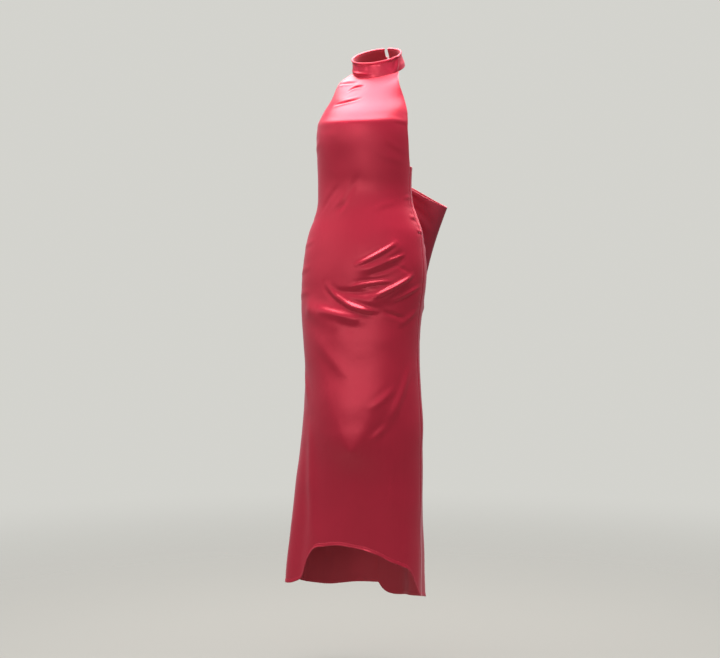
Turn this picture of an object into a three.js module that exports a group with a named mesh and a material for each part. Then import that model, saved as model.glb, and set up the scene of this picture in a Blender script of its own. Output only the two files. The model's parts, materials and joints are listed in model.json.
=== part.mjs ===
// A halter-neck satin evening dress as it hangs when worn: one long front panel from the neck
// band to the dipped hem, two back panels below the open back, and a large soft bow at the waist.
// Millimetres, +Z up. The front faces -Y, the wearer's left is +X, and the origin is the centre
// of the neck band, where the neck holds the dress up. Angles run round the body in degrees from
// the front centre towards the wearer's left.
import * as THREE from "three";

// Cloth and seams
const CLOTH = 1.6;
const SEAM_GAP = 0.3;
const SIDE_SEAM = 90;
const BACK_SEAM = 180;

// Neck band
const BAND_HEIGHT = 36;
const BAND_WALL = 3;
const BAND_LOW_RADIUS = 66;
const BAND_HIGH_RADIUS = 60.5;
const BAND_TILT = THREE.MathUtils.degToRad(22.6);
const BAND_GAP = 10;
const FRONT_ON_BAND = 72;

// Heights on the body
const UNDERARM_Z = -262;
const BACK_TOP_Z = -296;
const HIP_HIGH_Z = -420;
const HIP_LOW_Z = -690;

// Vent at the centre back: where it starts, how far from the seam each half swings, and how far
// back or in it swings at the hem
const VENT = { top: -1160, reach: 34, rightOut: 16, leftIn: 7 };

// Bow
const BOW_X = -12;
const BOW_Z = -306;
const KNOT = { width: 42, height: 56, depth: 34, endShare: 0.78, pleats: 3, pleatDepth: 1.5 };
const LOOP_FOLD_TOP = new THREE.Vector3(147, 100, -358);
const LOOP_FOLD_LOW = new THREE.Vector3(86, 92, -566);
const LOOP_FOLD_HOLLOW = 6;
const LOOP_PINCH = { half: 21, gap: 5 };
const LOOP_PUFF = 34;
const LOOP_GATHERS = { count: 3, depth: 2.2, fade: 0.28 };

// Button at the nape
const BUTTON = { capRadius: 5.2, capHeight: 2.8, stemRadius: 1.7, stemHeight: 2.4, dome: 1.1 };
const BUTTON_LOOP = { cord: 1.5, reach: 19, above: -10 };

// How finely each wall is divided
const GRID_ROWS = { bodice: 10, waist: 6, hips: 15, skirt: 19, band: 3, loop: 18 };
const GRID_COLUMNS = { front: 38, back: 14, band: 44, loop: 16 };
const NORMAL_STEP = 1e-3;

const COLOUR = 0xb3122f;

// The body of the dress from the underarm down, one row for each level section.
const SECTIONS = [
  { z: -262, width: 123, front: 92, back: 80, x: -13, y: -47 },
  { z: -315, width: 122, front: 85, back: 82, x: -13, y: -48 },
  { z: -355, width: 124, front: 87, back: 88, x: -11, y: -49 },
  { z: -385, width: 133, front: 91, back: 96, x: -9, y: -50 },
  { z: -420, width: 147, front: 95, back: 104, x: -9, y: -52 },
  { z: -462, width: 156, front: 98, back: 112, x: -11, y: -54 },
  { z: -510, width: 161, front: 101, back: 118, x: -12, y: -55 },
  { z: -560, width: 161, front: 102, back: 119, x: -15, y: -55 },
  { z: -620, width: 157, front: 103, back: 114, x: -19, y: -56 },
  { z: -720, width: 151, front: 105, back: 100, x: -17, y: -57 },
  { z: -770, width: 150, front: 107, back: 96, x: -14, y: -57 },
  { z: -820, width: 153, front: 109, back: 94, x: -13, y: -57 },
  { z: -910, width: 158, front: 110, back: 96, x: -14, y: -57 },
  { z: -985, width: 163, front: 108, back: 101, x: -20, y: -57 },
  { z: -1070, width: 169, front: 106, back: 112, x: -26, y: -57 },
  { z: -1150, width: 174, front: 105, back: 124, x: -31, y: -57 },
  { z: -1270, width: 181, front: 106, back: 140, x: -37, y: -57 },
  { z: -1340, width: 184, front: 107, back: 148, x: -39, y: -57 },
];

// The halter front above the underarm, one row for each line across it. z and y are the line's
// middle, edgeZ and edgeY its ends, width the ends' distance from the middle, and arc the angle
// that the line curves through on each side. The neck band's lower edge is the row above these.
const HALTER = [
  { z: -70, y: -80, width: 80, edgeY: -44, edgeZ: -50, arc: 68, x: -3 },
  { z: -103, y: -111, width: 99, edgeY: -50, edgeZ: -94, arc: 66, x: -4 },
  { z: -130, y: -134, width: 115, edgeY: -59, edgeZ: -127, arc: 68, x: -7 },
  { z: -150, y: -146, width: 121, edgeY: -65, edgeZ: -150, arc: 72, x: -9 },
  { z: -170, y: -151, width: 123, edgeY: -67, edgeZ: -170, arc: 77, x: -10 },
  { z: -200, y: -149, width: 124, edgeY: -62, edgeZ: -200, arc: 82, x: -11 },
  { z: -235, y: -143, width: 123, edgeY: -54, edgeZ: -235, arc: 87, x: -12 },
];

// Height of the hem at an angle. It is raised over the feet and lowest behind.
const HEM = [
  { angle: -180, z: -1324 },
  { angle: -150, z: -1328 },
  { angle: -120, z: -1322 },
  { angle: -105, z: -1309 },
  { angle: -90, z: -1302 },
  { angle: -66, z: -1299 },
  { angle: -46, z: -1291 },
  { angle: -36, z: -1270 },
  { angle: -29, z: -1224 },
  { angle: -22, z: -1198 },
  { angle: -12, z: -1190 },
  { angle: 0, z: -1184 },
  { angle: 12, z: -1187 },
  { angle: 24, z: -1193 },
  { angle: 36, z: -1205 },
  { angle: 48, z: -1221 },
  { angle: 58, z: -1231 },
  { angle: 66, z: -1241 },
  { angle: 73, z: -1262 },
  { angle: 82, z: -1298 },
  { angle: 90, z: -1312 },
  { angle: 105, z: -1320 },
  { angle: 120, z: -1330 },
  { angle: 150, z: -1341 },
  { angle: 170, z: -1346 },
  { angle: 176, z: -1334 },
  { angle: 180, z: -1315 },
];

// Soft flutes that open towards the hem: where, how wide, how far out, and where they start.
const FLUTES = [
  { angle: -160, spread: 11, out: 16, start: -900 },
  { angle: -137, spread: 9, out: -9, start: -960 },
  { angle: -116, spread: 10, out: 13, start: -880 },
  { angle: -92, spread: 10, out: -5, start: -1000 },
  { angle: -58, spread: 11, out: 8, start: -930 },
  { angle: -38, spread: 9, out: -6, start: -980 },
  { angle: 24, spread: 14, out: -4, start: -1000 },
  { angle: 62, spread: 12, out: 5, start: -960 },
  { angle: 103, spread: 10, out: -7, start: -960 },
  { angle: 122, spread: 10, out: 6, start: -920 },
  { angle: 143, spread: 10, out: -9, start: -980 },
  { angle: 162, spread: 10, out: 10, start: -900 },
];

// Drag folds and the fullness over the thighs, as ridges between two points of the surface.
const RIDGES = [
  { fromAngle: 20, fromZ: -506, toAngle: 46, toZ: -456, spread: 19, out: 4 },
  { fromAngle: 24, fromZ: -588, toAngle: 58, toZ: -536, spread: 18, out: 5 },
  { fromAngle: -6, fromZ: -590, toAngle: 14, toZ: -618, spread: 18, out: 3 },
  { fromAngle: -38, fromZ: -612, toAngle: -6, toZ: -640, spread: 22, out: 5 },
  { fromAngle: -12, fromZ: -690, toAngle: -2, toZ: -900, spread: 62, out: 9 },
  { fromAngle: 40, fromZ: -690, toAngle: 36, toZ: -830, spread: 48, out: 5 },
  { fromAngle: -150, fromZ: -640, toAngle: -116, toZ: -602, spread: 20, out: 4 },
  { fromAngle: 150, fromZ: -650, toAngle: 116, toZ: -608, spread: 20, out: 4 },
];
const FOLD_RADIUS = 130;

// Turns a table of rows into a function that gives a smooth row at any value of the key column.
function smoothTable(rows, key) {
  const ordered = [...rows].sort((a, b) => a[key] - b[key]);
  const names = Object.keys(rows[0]).filter((name) => name !== key);
  const keys = ordered.map((row) => row[key]);
  const values = ordered.flatMap((row) => names.map((name) => row[name]));
  const curve = new THREE.CubicInterpolant(keys, values, names.length);
  return (at) => {
    const sample = curve.evaluate(at);
    return Object.fromEntries(names.map((name, i) => [name, sample[i]]));
  };
}

const radians = THREE.MathUtils.degToRad;
const degrees = THREE.MathUtils.radToDeg;
const smooth = THREE.MathUtils.smoothstep;
const mix = THREE.MathUtils.lerp;

// A point on the neck band, from its lower edge (rise 0) to its upper edge (rise 1).
function bandPoint(angle, rise) {
  const radius = mix(BAND_LOW_RADIUS, BAND_HIGH_RADIUS, rise);
  const along = (rise - 0.5) * BAND_HEIGHT;
  const level = new THREE.Vector3(
    radius * Math.sin(radians(angle)),
    -radius * Math.cos(radians(angle)),
    along,
  );
  return level.applyAxisAngle(new THREE.Vector3(1, 0, 0), BAND_TILT);
}

// The line across the front where it is sewn to the band, as a row of the halter table.
function bandRow() {
  const below = -SEAM_GAP / BAND_HEIGHT;
  const middle = bandPoint(0, below);
  const edge = bandPoint(FRONT_ON_BAND, below);
  return {
    z: middle.z,
    y: middle.y,
    width: edge.x,
    edgeY: edge.y,
    edgeZ: edge.z,
    arc: FRONT_ON_BAND,
    x: 0,
  };
}

// The rows of the halter table that the body's sections give below the underarm.
function sectionRows() {
  return SECTIONS.map((s) => ({
    z: s.z,
    y: s.y - s.front,
    width: s.width,
    edgeY: s.y,
    edgeZ: s.z,
    arc: SIDE_SEAM,
    x: s.x,
  }));
}

const sectionAt = smoothTable(SECTIONS, "z");
const hemAt = smoothTable(HEM, "angle");
const frontRowAt = smoothTable([bandRow(), ...HALTER, ...sectionRows()], "z");

// How far the folds push the cloth out at an angle and height.
function foldOffset(angle, z) {
  let out = 0;
  for (const flute of FLUTES) {
    const away = (angle - flute.angle) / flute.spread;
    const opened = smooth(flute.start - z, 0, flute.start - SECTIONS.at(-1).z);
    out += flute.out * opened * Math.exp(-away * away);
  }
  for (const ridge of RIDGES) {
    const start = new THREE.Vector2(radians(ridge.fromAngle) * FOLD_RADIUS, ridge.fromZ);
    const end = new THREE.Vector2(radians(ridge.toAngle) * FOLD_RADIUS, ridge.toZ);
    const here = new THREE.Vector2(radians(angle) * FOLD_RADIUS, z).sub(start);
    const line = end.sub(start);
    const share = THREE.MathUtils.clamp(here.dot(line) / line.lengthSq(), 0, 1);
    const away = here.distanceTo(line.multiplyScalar(share)) / ridge.spread;
    out += ridge.out * Math.exp(-away * away);
  }
  return out;
}

// A point of the front panel, at a share of the way across and at a level of its middle line.
function frontPoint(across, level) {
  const row = frontRowAt(level);
  const turn = radians(across * row.arc);
  const bend = (1 - Math.cos(turn)) / (1 - Math.cos(radians(row.arc)));
  const point = new THREE.Vector3(
    row.x + (row.width * Math.sin(turn)) / Math.sin(radians(row.arc)),
    mix(row.y, row.edgeY, bend),
    mix(level, row.edgeZ, bend),
  );
  const out = foldOffset(across * row.arc, point.z);
  return point.add(new THREE.Vector3(Math.sin(turn), -Math.cos(turn), 0).multiplyScalar(out));
}

// A point of the back panels, at an angle past the side seam and at a height. It shares the
// front's width and side seam.
function backPoint(angle, z) {
  const row = frontRowAt(z);
  const turn = radians(angle);
  const out = foldOffset(angle, z);
  return new THREE.Vector3(
    row.x + (row.width + out) * Math.sin(turn),
    row.edgeY - (sectionAt(z).back + out) * Math.cos(turn),
    z,
  );
}

// Makes a closed mesh from a grid of outer points and the grid of inner points behind it.
function closedSheet(outer, inner) {
  const rows = outer.length;
  const columns = outer[0].length;
  const points = [...outer.flat(), ...inner.flat()];
  const at = (side, i, j) => side * rows * columns + i * columns + j;
  const faces = [];
  const quad = (a, b, c, d) => faces.push([a, b, c], [a, c, d]);
  for (let i = 0; i < rows - 1; i++) {
    for (let j = 0; j < columns - 1; j++) {
      quad(at(0, i, j), at(0, i + 1, j), at(0, i + 1, j + 1), at(0, i, j + 1));
      quad(at(1, i, j), at(1, i, j + 1), at(1, i + 1, j + 1), at(1, i + 1, j));
    }
  }
  for (let i = 0; i < rows - 1; i++) {
    const last = columns - 1;
    quad(at(0, i, 0), at(1, i, 0), at(1, i + 1, 0), at(0, i + 1, 0));
    quad(at(0, i, last), at(0, i + 1, last), at(1, i + 1, last), at(1, i, last));
  }
  for (let j = 0; j < columns - 1; j++) {
    const last = rows - 1;
    quad(at(0, 0, j), at(0, 0, j + 1), at(1, 0, j + 1), at(1, 0, j));
    quad(at(0, last, j), at(1, last, j), at(1, last, j + 1), at(0, last, j + 1));
  }
  return facesToGeometry(points, faces);
}

// Turns points and triangles into a geometry whose faces point outwards.
function facesToGeometry(points, faces) {
  const volume = faces.reduce((sum, [a, b, c]) => {
    const corner = new THREE.Vector3().crossVectors(points[b], points[c]);
    return sum + points[a].dot(corner);
  }, 0);
  const turned = volume < 0 ? faces.map(([a, b, c]) => [a, c, b]) : faces;
  const geometry = new THREE.BufferGeometry();
  geometry.setAttribute(
    "position",
    new THREE.Float32BufferAttribute(points.flatMap((p) => p.toArray()), 3),
  );
  geometry.setIndex(turned.flat());
  geometry.computeVertexNormals();
  return geometry;
}

// Samples pointAt(u, v) at the given shares and puts a wall of cloth behind the points.
function clothWall(pointAt, columns, rows, wall) {
  const outer = rows.map((v) => columns.map((u) => pointAt(u, v)));
  const inner = rows.map((v, i) =>
    columns.map((u, j) => {
      const low = Math.max(0, v - NORMAL_STEP);
      const high = Math.min(1, v + NORMAL_STEP);
      const down = pointAt(u, high).sub(pointAt(u, low));
      const across = pointAt(u + NORMAL_STEP, v).sub(pointAt(u - NORMAL_STEP, v));
      const inwards = across.cross(down).normalize();
      return outer[i][j].clone().addScaledVector(inwards, wall);
    }),
  );
  return closedSheet(outer, inner);
}

// Equal steps from 0 to 1.
function shares(count) {
  return Array.from({ length: count + 1 }, (_, i) => i / count);
}

function satin() {
  return new THREE.MeshStandardMaterial({
    color: COLOUR,
    roughness: 0.38,
    metalness: 0,
    side: THREE.DoubleSide,
  });
}

function piece(name, geometry) {
  const mesh = new THREE.Mesh(geometry, satin());
  mesh.name = name;
  return mesh;
}

// The height that a row of the panels' grid has at a place whose hem is given. Rows are counted
// down from the underarm, and are the same in front and back so that the side seams match.
function rowHeight(row, hem) {
  const { waist, hips, skirt } = GRID_ROWS;
  if (row <= waist) {
    return mix(UNDERARM_Z, HIP_HIGH_Z, row / waist);
  }
  if (row <= waist + hips) {
    return mix(HIP_HIGH_Z, HIP_LOW_Z, (row - waist) / hips);
  }
  return mix(HIP_LOW_Z, hem, (row - waist - hips) / skirt);
}

// The front: halter, bodice and skirt in one length, from the band to the hem.
function frontPanel() {
  const { bodice, waist, hips, skirt } = GRID_ROWS;
  const total = bodice + waist + hips + skirt;
  const top = bandRow().z;
  const pointAt = (u, v) => {
    const across = 2 * u - 1;
    const row = v * total - bodice;
    const hem = hemAt(across * SIDE_SEAM).z;
    const level = row < 0 ? mix(UNDERARM_Z, top, -row / bodice) : rowHeight(row, hem);
    const line = frontRowAt(level);
    const inset = SEAM_GAP / 2 / (line.edgeY - line.y) / radians(line.arc);
    return frontPoint(across * (1 - inset), level);
  };
  return clothWall(pointAt, shares(GRID_COLUMNS.front), shares(total), CLOTH);
}

// One half of the back skirt, from its side seam to the centre seam and the vent below it.
function backPanel(side) {
  const { waist, hips, skirt } = GRID_ROWS;
  const total = waist + hips + skirt;
  const sideHem = hemAt(side * SIDE_SEAM).z;
  const pointAt = (u, v) => {
    const share = side > 0 ? 1 - u : u;
    const around = side * mix(BACK_SEAM, SIDE_SEAM, share);
    const top = mix(UNDERARM_Z, BACK_TOP_Z, smooth(Math.abs(around), SIDE_SEAM, BACK_SEAM));
    const drop = (UNDERARM_Z - rowHeight(v * total, sideHem)) / (UNDERARM_Z - sideHem);
    const z = mix(top, hemAt(around).z, drop);
    const centreInset = degrees(SEAM_GAP / 2 / frontRowAt(z).width);
    const sideInset = degrees(SEAM_GAP / 2 / sectionAt(z).back);
    const angle = side * mix(BACK_SEAM - centreInset, SIDE_SEAM + sideInset, share);
    return ventOpened(backPoint(angle, z), angle, z, side);
  };
  return clothWall(pointAt, shares(GRID_COLUMNS.back), shares(total), CLOTH);
}

// Below the vent's top the wearer's right half swings back and the left half swings in.
function ventOpened(point, angle, z, side) {
  const swing = side > 0 ? -VENT.leftIn : VENT.rightOut;
  const nearSeam = smooth(Math.abs(angle), BACK_SEAM - VENT.reach, BACK_SEAM);
  const lowDown = smooth(VENT.top - z, 0, VENT.top - SECTIONS.at(-1).z);
  point.y += swing * nearSeam * lowDown;
  return point;
}

// The stand-up neck band, open at the nape.
function neckBand() {
  const halfGap = degrees(BAND_GAP / 2 / BAND_LOW_RADIUS);
  const pointAt = (u, v) => bandPoint(mix(halfGap - BACK_SEAM, BACK_SEAM - halfGap, u), 1 - v);
  return clothWall(pointAt, shares(GRID_COLUMNS.band), shares(GRID_ROWS.band), BAND_WALL);
}

// A place on the outside of the centre back at a height.
function centreBack(z) {
  return backPoint(BACK_SEAM, z);
}

// The knot is sewn to the back panels, which slope out behind its lower half.
function knotCentre() {
  const seat = centreBack(BOW_Z - KNOT.height / 4);
  return new THREE.Vector3(BOW_X, seat.y + SEAM_GAP + KNOT.depth / 2, BOW_Z);
}

// The knot: a band of cloth wrapped round the bow's middle, with pleats along it.
function bowKnot() {
  const rings = 12;
  const spokes = 20;
  const points = [];
  const faces = [];
  for (let i = 0; i <= rings; i++) {
    const lift = -1 + (2 * i) / rings;
    const belly = mix(KNOT.endShare, 1, Math.cos((lift * Math.PI) / 2));
    for (let j = 0; j < spokes; j++) {
      const turn = (2 * Math.PI * j) / spokes;
      const pleat = KNOT.pleatDepth * Math.cos(KNOT.pleats * Math.PI * lift);
      const corner = Math.max(Math.abs(Math.cos(turn)), Math.abs(Math.sin(turn))) ** 0.5;
      points.push(
        new THREE.Vector3(
          (KNOT.width / 2) * lift,
          (KNOT.depth / 2 - KNOT.pleatDepth + pleat) * belly * Math.cos(turn) * corner,
          (KNOT.height / 2 - KNOT.pleatDepth + pleat) * belly * Math.sin(turn) * corner,
        ),
      );
    }
  }
  for (let i = 0; i < rings; i++) {
    for (let j = 0; j < spokes; j++) {
      const next = (j + 1) % spokes;
      const a = i * spokes + j;
      const b = i * spokes + next;
      faces.push([a, b, b + spokes], [a, b + spokes, a + spokes]);
    }
  }
  for (const [ring, turned] of [
    [0, true],
    [rings, false],
  ]) {
    const first = ring * spokes;
    for (let j = 1; j < spokes - 1; j++) {
      const fan = [first, first + j, first + j + 1];
      faces.push(turned ? fan.reverse() : fan);
    }
  }
  const mesh = piece("bow_knot", facesToGeometry(points, faces));
  mesh.position.copy(knotCentre());
  return mesh;
}

// One loop of the bow: a wide band that leaves the knot, folds over at its tip and comes back,
// gathered where the knot pinches it. It droops beside the hip.
function bowLoop(side) {
  const centre = knotCentre();
  const foldTop = LOOP_FOLD_TOP.clone().sub(new THREE.Vector3(BOW_X, 0, 0));
  const foldLow = LOOP_FOLD_LOW.clone().sub(new THREE.Vector3(BOW_X, 0, 0));
  const inX = KNOT.width / 2 + SEAM_GAP + CLOTH;
  const backwards = new THREE.Vector3(0, 1, 0);
  const normal = new THREE.Vector3()
    .subVectors(foldTop, foldLow)
    .cross(new THREE.Vector3(foldTop.x, foldTop.y - centre.y, foldTop.z - centre.z))
    .normalize();
  const pointAt = (u, v) => {
    const turn = Math.PI * v;
    const reach = Math.sin(turn);
    const pinch = new THREE.Vector3(inX, centre.y, BOW_Z + mix(1, -1, u) * LOOP_PINCH.half);
    const fold = foldTop.clone().lerp(foldLow, u);
    fold.x -= LOOP_FOLD_HOLLOW * Math.sin(Math.PI * u);
    const point = pinch.lerp(fold, reach);
    const gather = LOOP_GATHERS.depth * Math.cos(2 * Math.PI * LOOP_GATHERS.count * u);
    const faded = Math.exp(-reach / LOOP_GATHERS.fade);
    const open = Math.cos(turn) * (LOOP_PINCH.gap + LOOP_PUFF * reach);
    const away = open + gather * faded * Math.abs(Math.cos(turn));
    point.addScaledVector(backwards.clone().lerp(normal, reach), away);
    return new THREE.Vector3(BOW_X + side * point.x, point.y, point.z);
  };
  const facing = (u, v) => pointAt(side > 0 ? u : 1 - u, v);
  const wall = clothWall(facing, shares(GRID_COLUMNS.loop), shares(GRID_ROWS.loop), CLOTH);
  return piece(side > 0 ? "bow_loop_left" : "bow_loop_right", wall);
}

// The covered button on the band's right end.
function napeButton() {
  const { capRadius, capHeight, stemRadius, stemHeight, dome } = BUTTON;
  const profile = [
    new THREE.Vector2(0, 0),
    new THREE.Vector2(stemRadius, 0),
    new THREE.Vector2(stemRadius, stemHeight),
    new THREE.Vector2(capRadius * 0.92, stemHeight),
    new THREE.Vector2(capRadius, stemHeight + capHeight * 0.35),
    new THREE.Vector2(capRadius * 0.8, stemHeight + capHeight * 0.85),
    new THREE.Vector2(capRadius * 0.4, stemHeight + capHeight + dome * 0.7),
    new THREE.Vector2(0, stemHeight + capHeight + dome),
  ];
  return piece("nape_button", new THREE.LatheGeometry(profile, 16));
}

// The cord loop sewn to the band's left end. It goes round the button's stem and keeps to the
// band's curve.
function napeLoop() {
  const inner = BUTTON.stemRadius + SEAM_GAP + BUTTON_LOOP.cord / 2;
  const turns = shares(12).map((share) => mix(-Math.PI / 2, Math.PI / 2, share));
  const flat = turns.map((turn) => [-inner * Math.cos(turn), inner * Math.sin(turn)]);
  const ends = [BUTTON_LOOP.reach * 0.4, BUTTON_LOOP.reach];
  ends.forEach((x) => flat.unshift([x, -inner * 0.8]));
  ends.forEach((x) => flat.push([x, inner * 0.8]));
  const route = flat.map(([x, y]) => new THREE.Vector3(x, y, (-x * x) / (2 * BAND_LOW_RADIUS)));
  const section = new THREE.Shape().absarc(0, 0, BUTTON_LOOP.cord / 2, 0, 2 * Math.PI);
  const geometry = new THREE.ExtrudeGeometry(section, {
    steps: 32,
    curveSegments: 6,
    bevelEnabled: false,
    extrudePath: new THREE.CatmullRomCurve3(route, false, "centripetal"),
  });
  return piece("nape_loop", geometry);
}

// Button and loop, laid on the outside of the band at the nape.
function napeClosure() {
  const rise = 0.5 + BUTTON_LOOP.above / BAND_HEIGHT;
  const halfGap = degrees(BAND_GAP / 2 / BAND_LOW_RADIUS);
  const buttonAngle = halfGap + degrees((BUTTON.stemRadius + 2.5) / BAND_LOW_RADIUS);
  const group = new THREE.Group();
  const spot = bandPoint(-(BACK_SEAM - buttonAngle), rise);
  const out = new THREE.Vector3(spot.x, spot.y, 0).normalize();
  out.applyAxisAngle(new THREE.Vector3(1, 0, 0), BAND_TILT);
  group.position.copy(spot).addScaledVector(out, SEAM_GAP);
  group.quaternion.setFromUnitVectors(new THREE.Vector3(0, 0, 1), out);
  const button = napeButton();
  button.rotation.x = Math.PI / 2;
  const cord = napeLoop();
  cord.position.z = BUTTON_LOOP.cord / 2 + SEAM_GAP;
  group.add(button, cord);
  return group;
}

function buildDress() {
  const dress = new THREE.Group();
  dress.add(
    piece("neck_band", neckBand()),
    piece("front_panel", frontPanel()),
    piece("back_panel_right", backPanel(-1)),
    piece("back_panel_left", backPanel(1)),
    bowKnot(),
    bowLoop(-1),
    bowLoop(1),
    napeClosure(),
  );
  return dress;
}

export default buildDress();
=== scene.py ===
"""A halter-neck satin evening dress as it hangs when worn, with a large soft bow at the back.

The cloth is built in millimetres on the same lines as the solids: sections of the body, a halter
table, a hem line and soft folds. Angles run round the body in degrees from the front centre
towards the wearer's left. Each panel is a thin closed shell with turned edges and its creases.
"""
import json
import logging
import math
from dataclasses import dataclass
from enum import Enum
from typing import Any, Iterable, Optional, Sequence, Union

import bpy
import numpy as np
from mathutils import Matrix, Vector

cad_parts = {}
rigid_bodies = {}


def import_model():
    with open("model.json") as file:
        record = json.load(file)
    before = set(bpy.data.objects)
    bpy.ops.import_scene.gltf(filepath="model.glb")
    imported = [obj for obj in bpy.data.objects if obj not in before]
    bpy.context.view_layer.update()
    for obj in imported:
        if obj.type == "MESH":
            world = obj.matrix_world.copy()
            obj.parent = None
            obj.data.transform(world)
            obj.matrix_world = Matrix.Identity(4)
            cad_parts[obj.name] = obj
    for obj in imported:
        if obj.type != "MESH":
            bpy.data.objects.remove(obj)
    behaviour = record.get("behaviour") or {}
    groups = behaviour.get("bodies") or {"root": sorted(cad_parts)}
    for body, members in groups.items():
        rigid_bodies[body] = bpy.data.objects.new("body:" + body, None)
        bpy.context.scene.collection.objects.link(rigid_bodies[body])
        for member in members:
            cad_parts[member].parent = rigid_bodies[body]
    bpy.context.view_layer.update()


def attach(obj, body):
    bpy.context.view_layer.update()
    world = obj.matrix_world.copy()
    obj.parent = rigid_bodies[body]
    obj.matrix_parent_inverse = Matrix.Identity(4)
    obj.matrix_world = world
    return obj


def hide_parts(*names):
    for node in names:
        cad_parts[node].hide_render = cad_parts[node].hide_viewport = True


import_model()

LOG = logging.getLogger("dress")
METRES = 0.001
BODY = "root"
UV_NAME = "cloth_metres"
# How far the wrong side lies from the right side on the flat map, in metres
WRONG_SIDE_SHIFT = (2.0, 0.0)

Array = np.ndarray


class Side(Enum):
    """The wearer's right or left."""

    RIGHT = -1
    LEFT = 1

    @property
    def word(self) -> str:
        """The side as it stands in the names of pieces."""
        return self.name.lower()


# Numbers read from tables


class SmoothTable:
    """Rows of named columns, read smoothly at any value of the first column."""

    def __init__(self, columns: str, rows: Iterable[Sequence[float]]) -> None:
        """Keeps the rows in order and works out the slope at each.

        Args:
            columns: the column names, of which the first is the one that is read at.
            rows: the rows, in any order.
        """
        data = np.array(sorted(tuple(row) for row in rows), dtype=float)
        self.names = columns.split()[1:]
        self.keys = data[:, 0]
        self.values = data[:, 1:]
        steps = np.diff(self.values, axis=0) / np.diff(self.keys)[:, None]
        self.slopes = np.vstack([steps[:1], (steps[1:] + steps[:-1]) / 2, steps[-1:]])

    def at(self, key: Any) -> dict[str, Array]:
        """Gives every column at the keys.

        Args:
            key: a number or an array.

        Returns:
            An array of the keys' shape for each column name.
        """
        asked = np.clip(np.asarray(key, dtype=float), self.keys[0], self.keys[-1])
        i = np.clip(np.searchsorted(self.keys, asked, side="right") - 1, 0, len(self.keys) - 2)
        width = self.keys[i + 1] - self.keys[i]
        t = (asked - self.keys[i]) / width
        found = {}
        for column, name in enumerate(self.names):
            low, high = self.values[i, column], self.values[i + 1, column]
            rise_low, rise_high = self.slopes[i, column], self.slopes[i + 1, column]
            found[name] = (
                (2 * t**3 - 3 * t**2 + 1) * low
                + (t**3 - 2 * t**2 + t) * width * rise_low
                + (3 * t**2 - 2 * t**3) * high
                + (t**3 - t**2) * width * rise_high
            )
        return found


def mix(low: Any, high: Any, share: Any) -> Any:
    """Goes from low to high by a share."""
    return low + (high - low) * share


def smooth(value: Any, low: Any, high: Any) -> Any:
    """Rises softly from 0 at low to 1 at high."""
    t = np.clip((value - low) / (high - low), 0.0, 1.0)
    return t * t * (3 - 2 * t)


def bell(distance: Any, width: Any) -> Any:
    """A soft bump that is 1 at no distance and fades over the width."""
    return np.exp(-((distance / width) ** 2))


def joined(*parts: Any) -> Array:
    """Stacks the coordinates of points along a last axis."""
    return np.stack(np.broadcast_arrays(*parts), axis=-1)


def unit(vectors: Array) -> Array:
    """Scales vectors along the last axis to length 1."""
    length = np.linalg.norm(vectors, axis=-1, keepdims=True)
    return vectors / np.maximum(length, 1e-12)


# The form of the dress

# Height, half width, depth in front, depth behind, and the middle's x and y
SECTIONS = (
    (-262, 123, 92, 80, -13, -47),
    (-315, 122, 85, 82, -13, -48),
    (-355, 124, 87, 88, -11, -49),
    (-385, 133, 91, 96, -9, -50),
    (-420, 147, 95, 104, -9, -52),
    (-462, 156, 98, 112, -11, -54),
    (-510, 161, 101, 118, -12, -55),
    (-560, 161, 102, 119, -15, -55),
    (-620, 157, 103, 114, -19, -56),
    (-720, 151, 105, 100, -17, -57),
    (-770, 150, 107, 96, -14, -57),
    (-820, 153, 109, 94, -13, -57),
    (-910, 158, 110, 96, -14, -57),
    (-985, 163, 108, 101, -20, -57),
    (-1070, 169, 106, 112, -26, -57),
    (-1150, 174, 105, 124, -31, -57),
    (-1270, 181, 106, 140, -37, -57),
    (-1340, 184, 107, 148, -39, -57),
)

# Height and y of the middle line, half width, y and z of the edge, arc in degrees, x
HALTER = (
    (-70, -80, 80, -44, -50, 68, -3),
    (-103, -111, 99, -50, -94, 66, -4),
    (-130, -134, 115, -59, -127, 68, -7),
    (-150, -146, 121, -65, -150, 72, -9),
    (-170, -151, 123, -67, -170, 77, -10),
    (-200, -149, 124, -62, -200, 82, -11),
    (-235, -143, 123, -54, -235, 87, -12),
)

# Angle and height
HEM = (
    (-180, -1324),
    (-150, -1328),
    (-120, -1322),
    (-105, -1309),
    (-90, -1302),
    (-66, -1299),
    (-46, -1291),
    (-36, -1270),
    (-29, -1224),
    (-22, -1198),
    (-12, -1190),
    (0, -1184),
    (12, -1187),
    (24, -1193),
    (36, -1205),
    (48, -1221),
    (58, -1231),
    (66, -1241),
    (73, -1262),
    (82, -1298),
    (90, -1312),
    (105, -1320),
    (120, -1330),
    (150, -1341),
    (170, -1346),
    (176, -1334),
    (180, -1315),
)

# Angle, spread, how far out, and the height where it starts
FLUTES = (
    (-160, 11, 16, -900),
    (-137, 9, -9, -960),
    (-116, 10, 13, -880),
    (-92, 10, -5, -1000),
    (-58, 11, 8, -930),
    (-38, 9, -6, -980),
    (24, 14, -4, -1000),
    (62, 12, 5, -960),
    (103, 10, -7, -960),
    (122, 10, 6, -920),
    (143, 10, -9, -980),
    (162, 10, 10, -900),
)

# From an angle and height to an angle and height, spread, how far out
RIDGES = (
    (20, -506, 46, -456, 19, 4),
    (24, -588, 58, -536, 18, 5),
    (-6, -590, 14, -618, 18, 3),
    (-38, -612, -6, -640, 22, 5),
    (-12, -690, -2, -900, 62, 9),
    (40, -690, 36, -830, 48, 5),
    (-150, -640, -116, -602, 20, 4),
    (150, -650, 116, -608, 20, 4),
)
FOLD_RADIUS = 130.0
LOWEST_SECTION = SECTIONS[-1][0]


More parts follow.
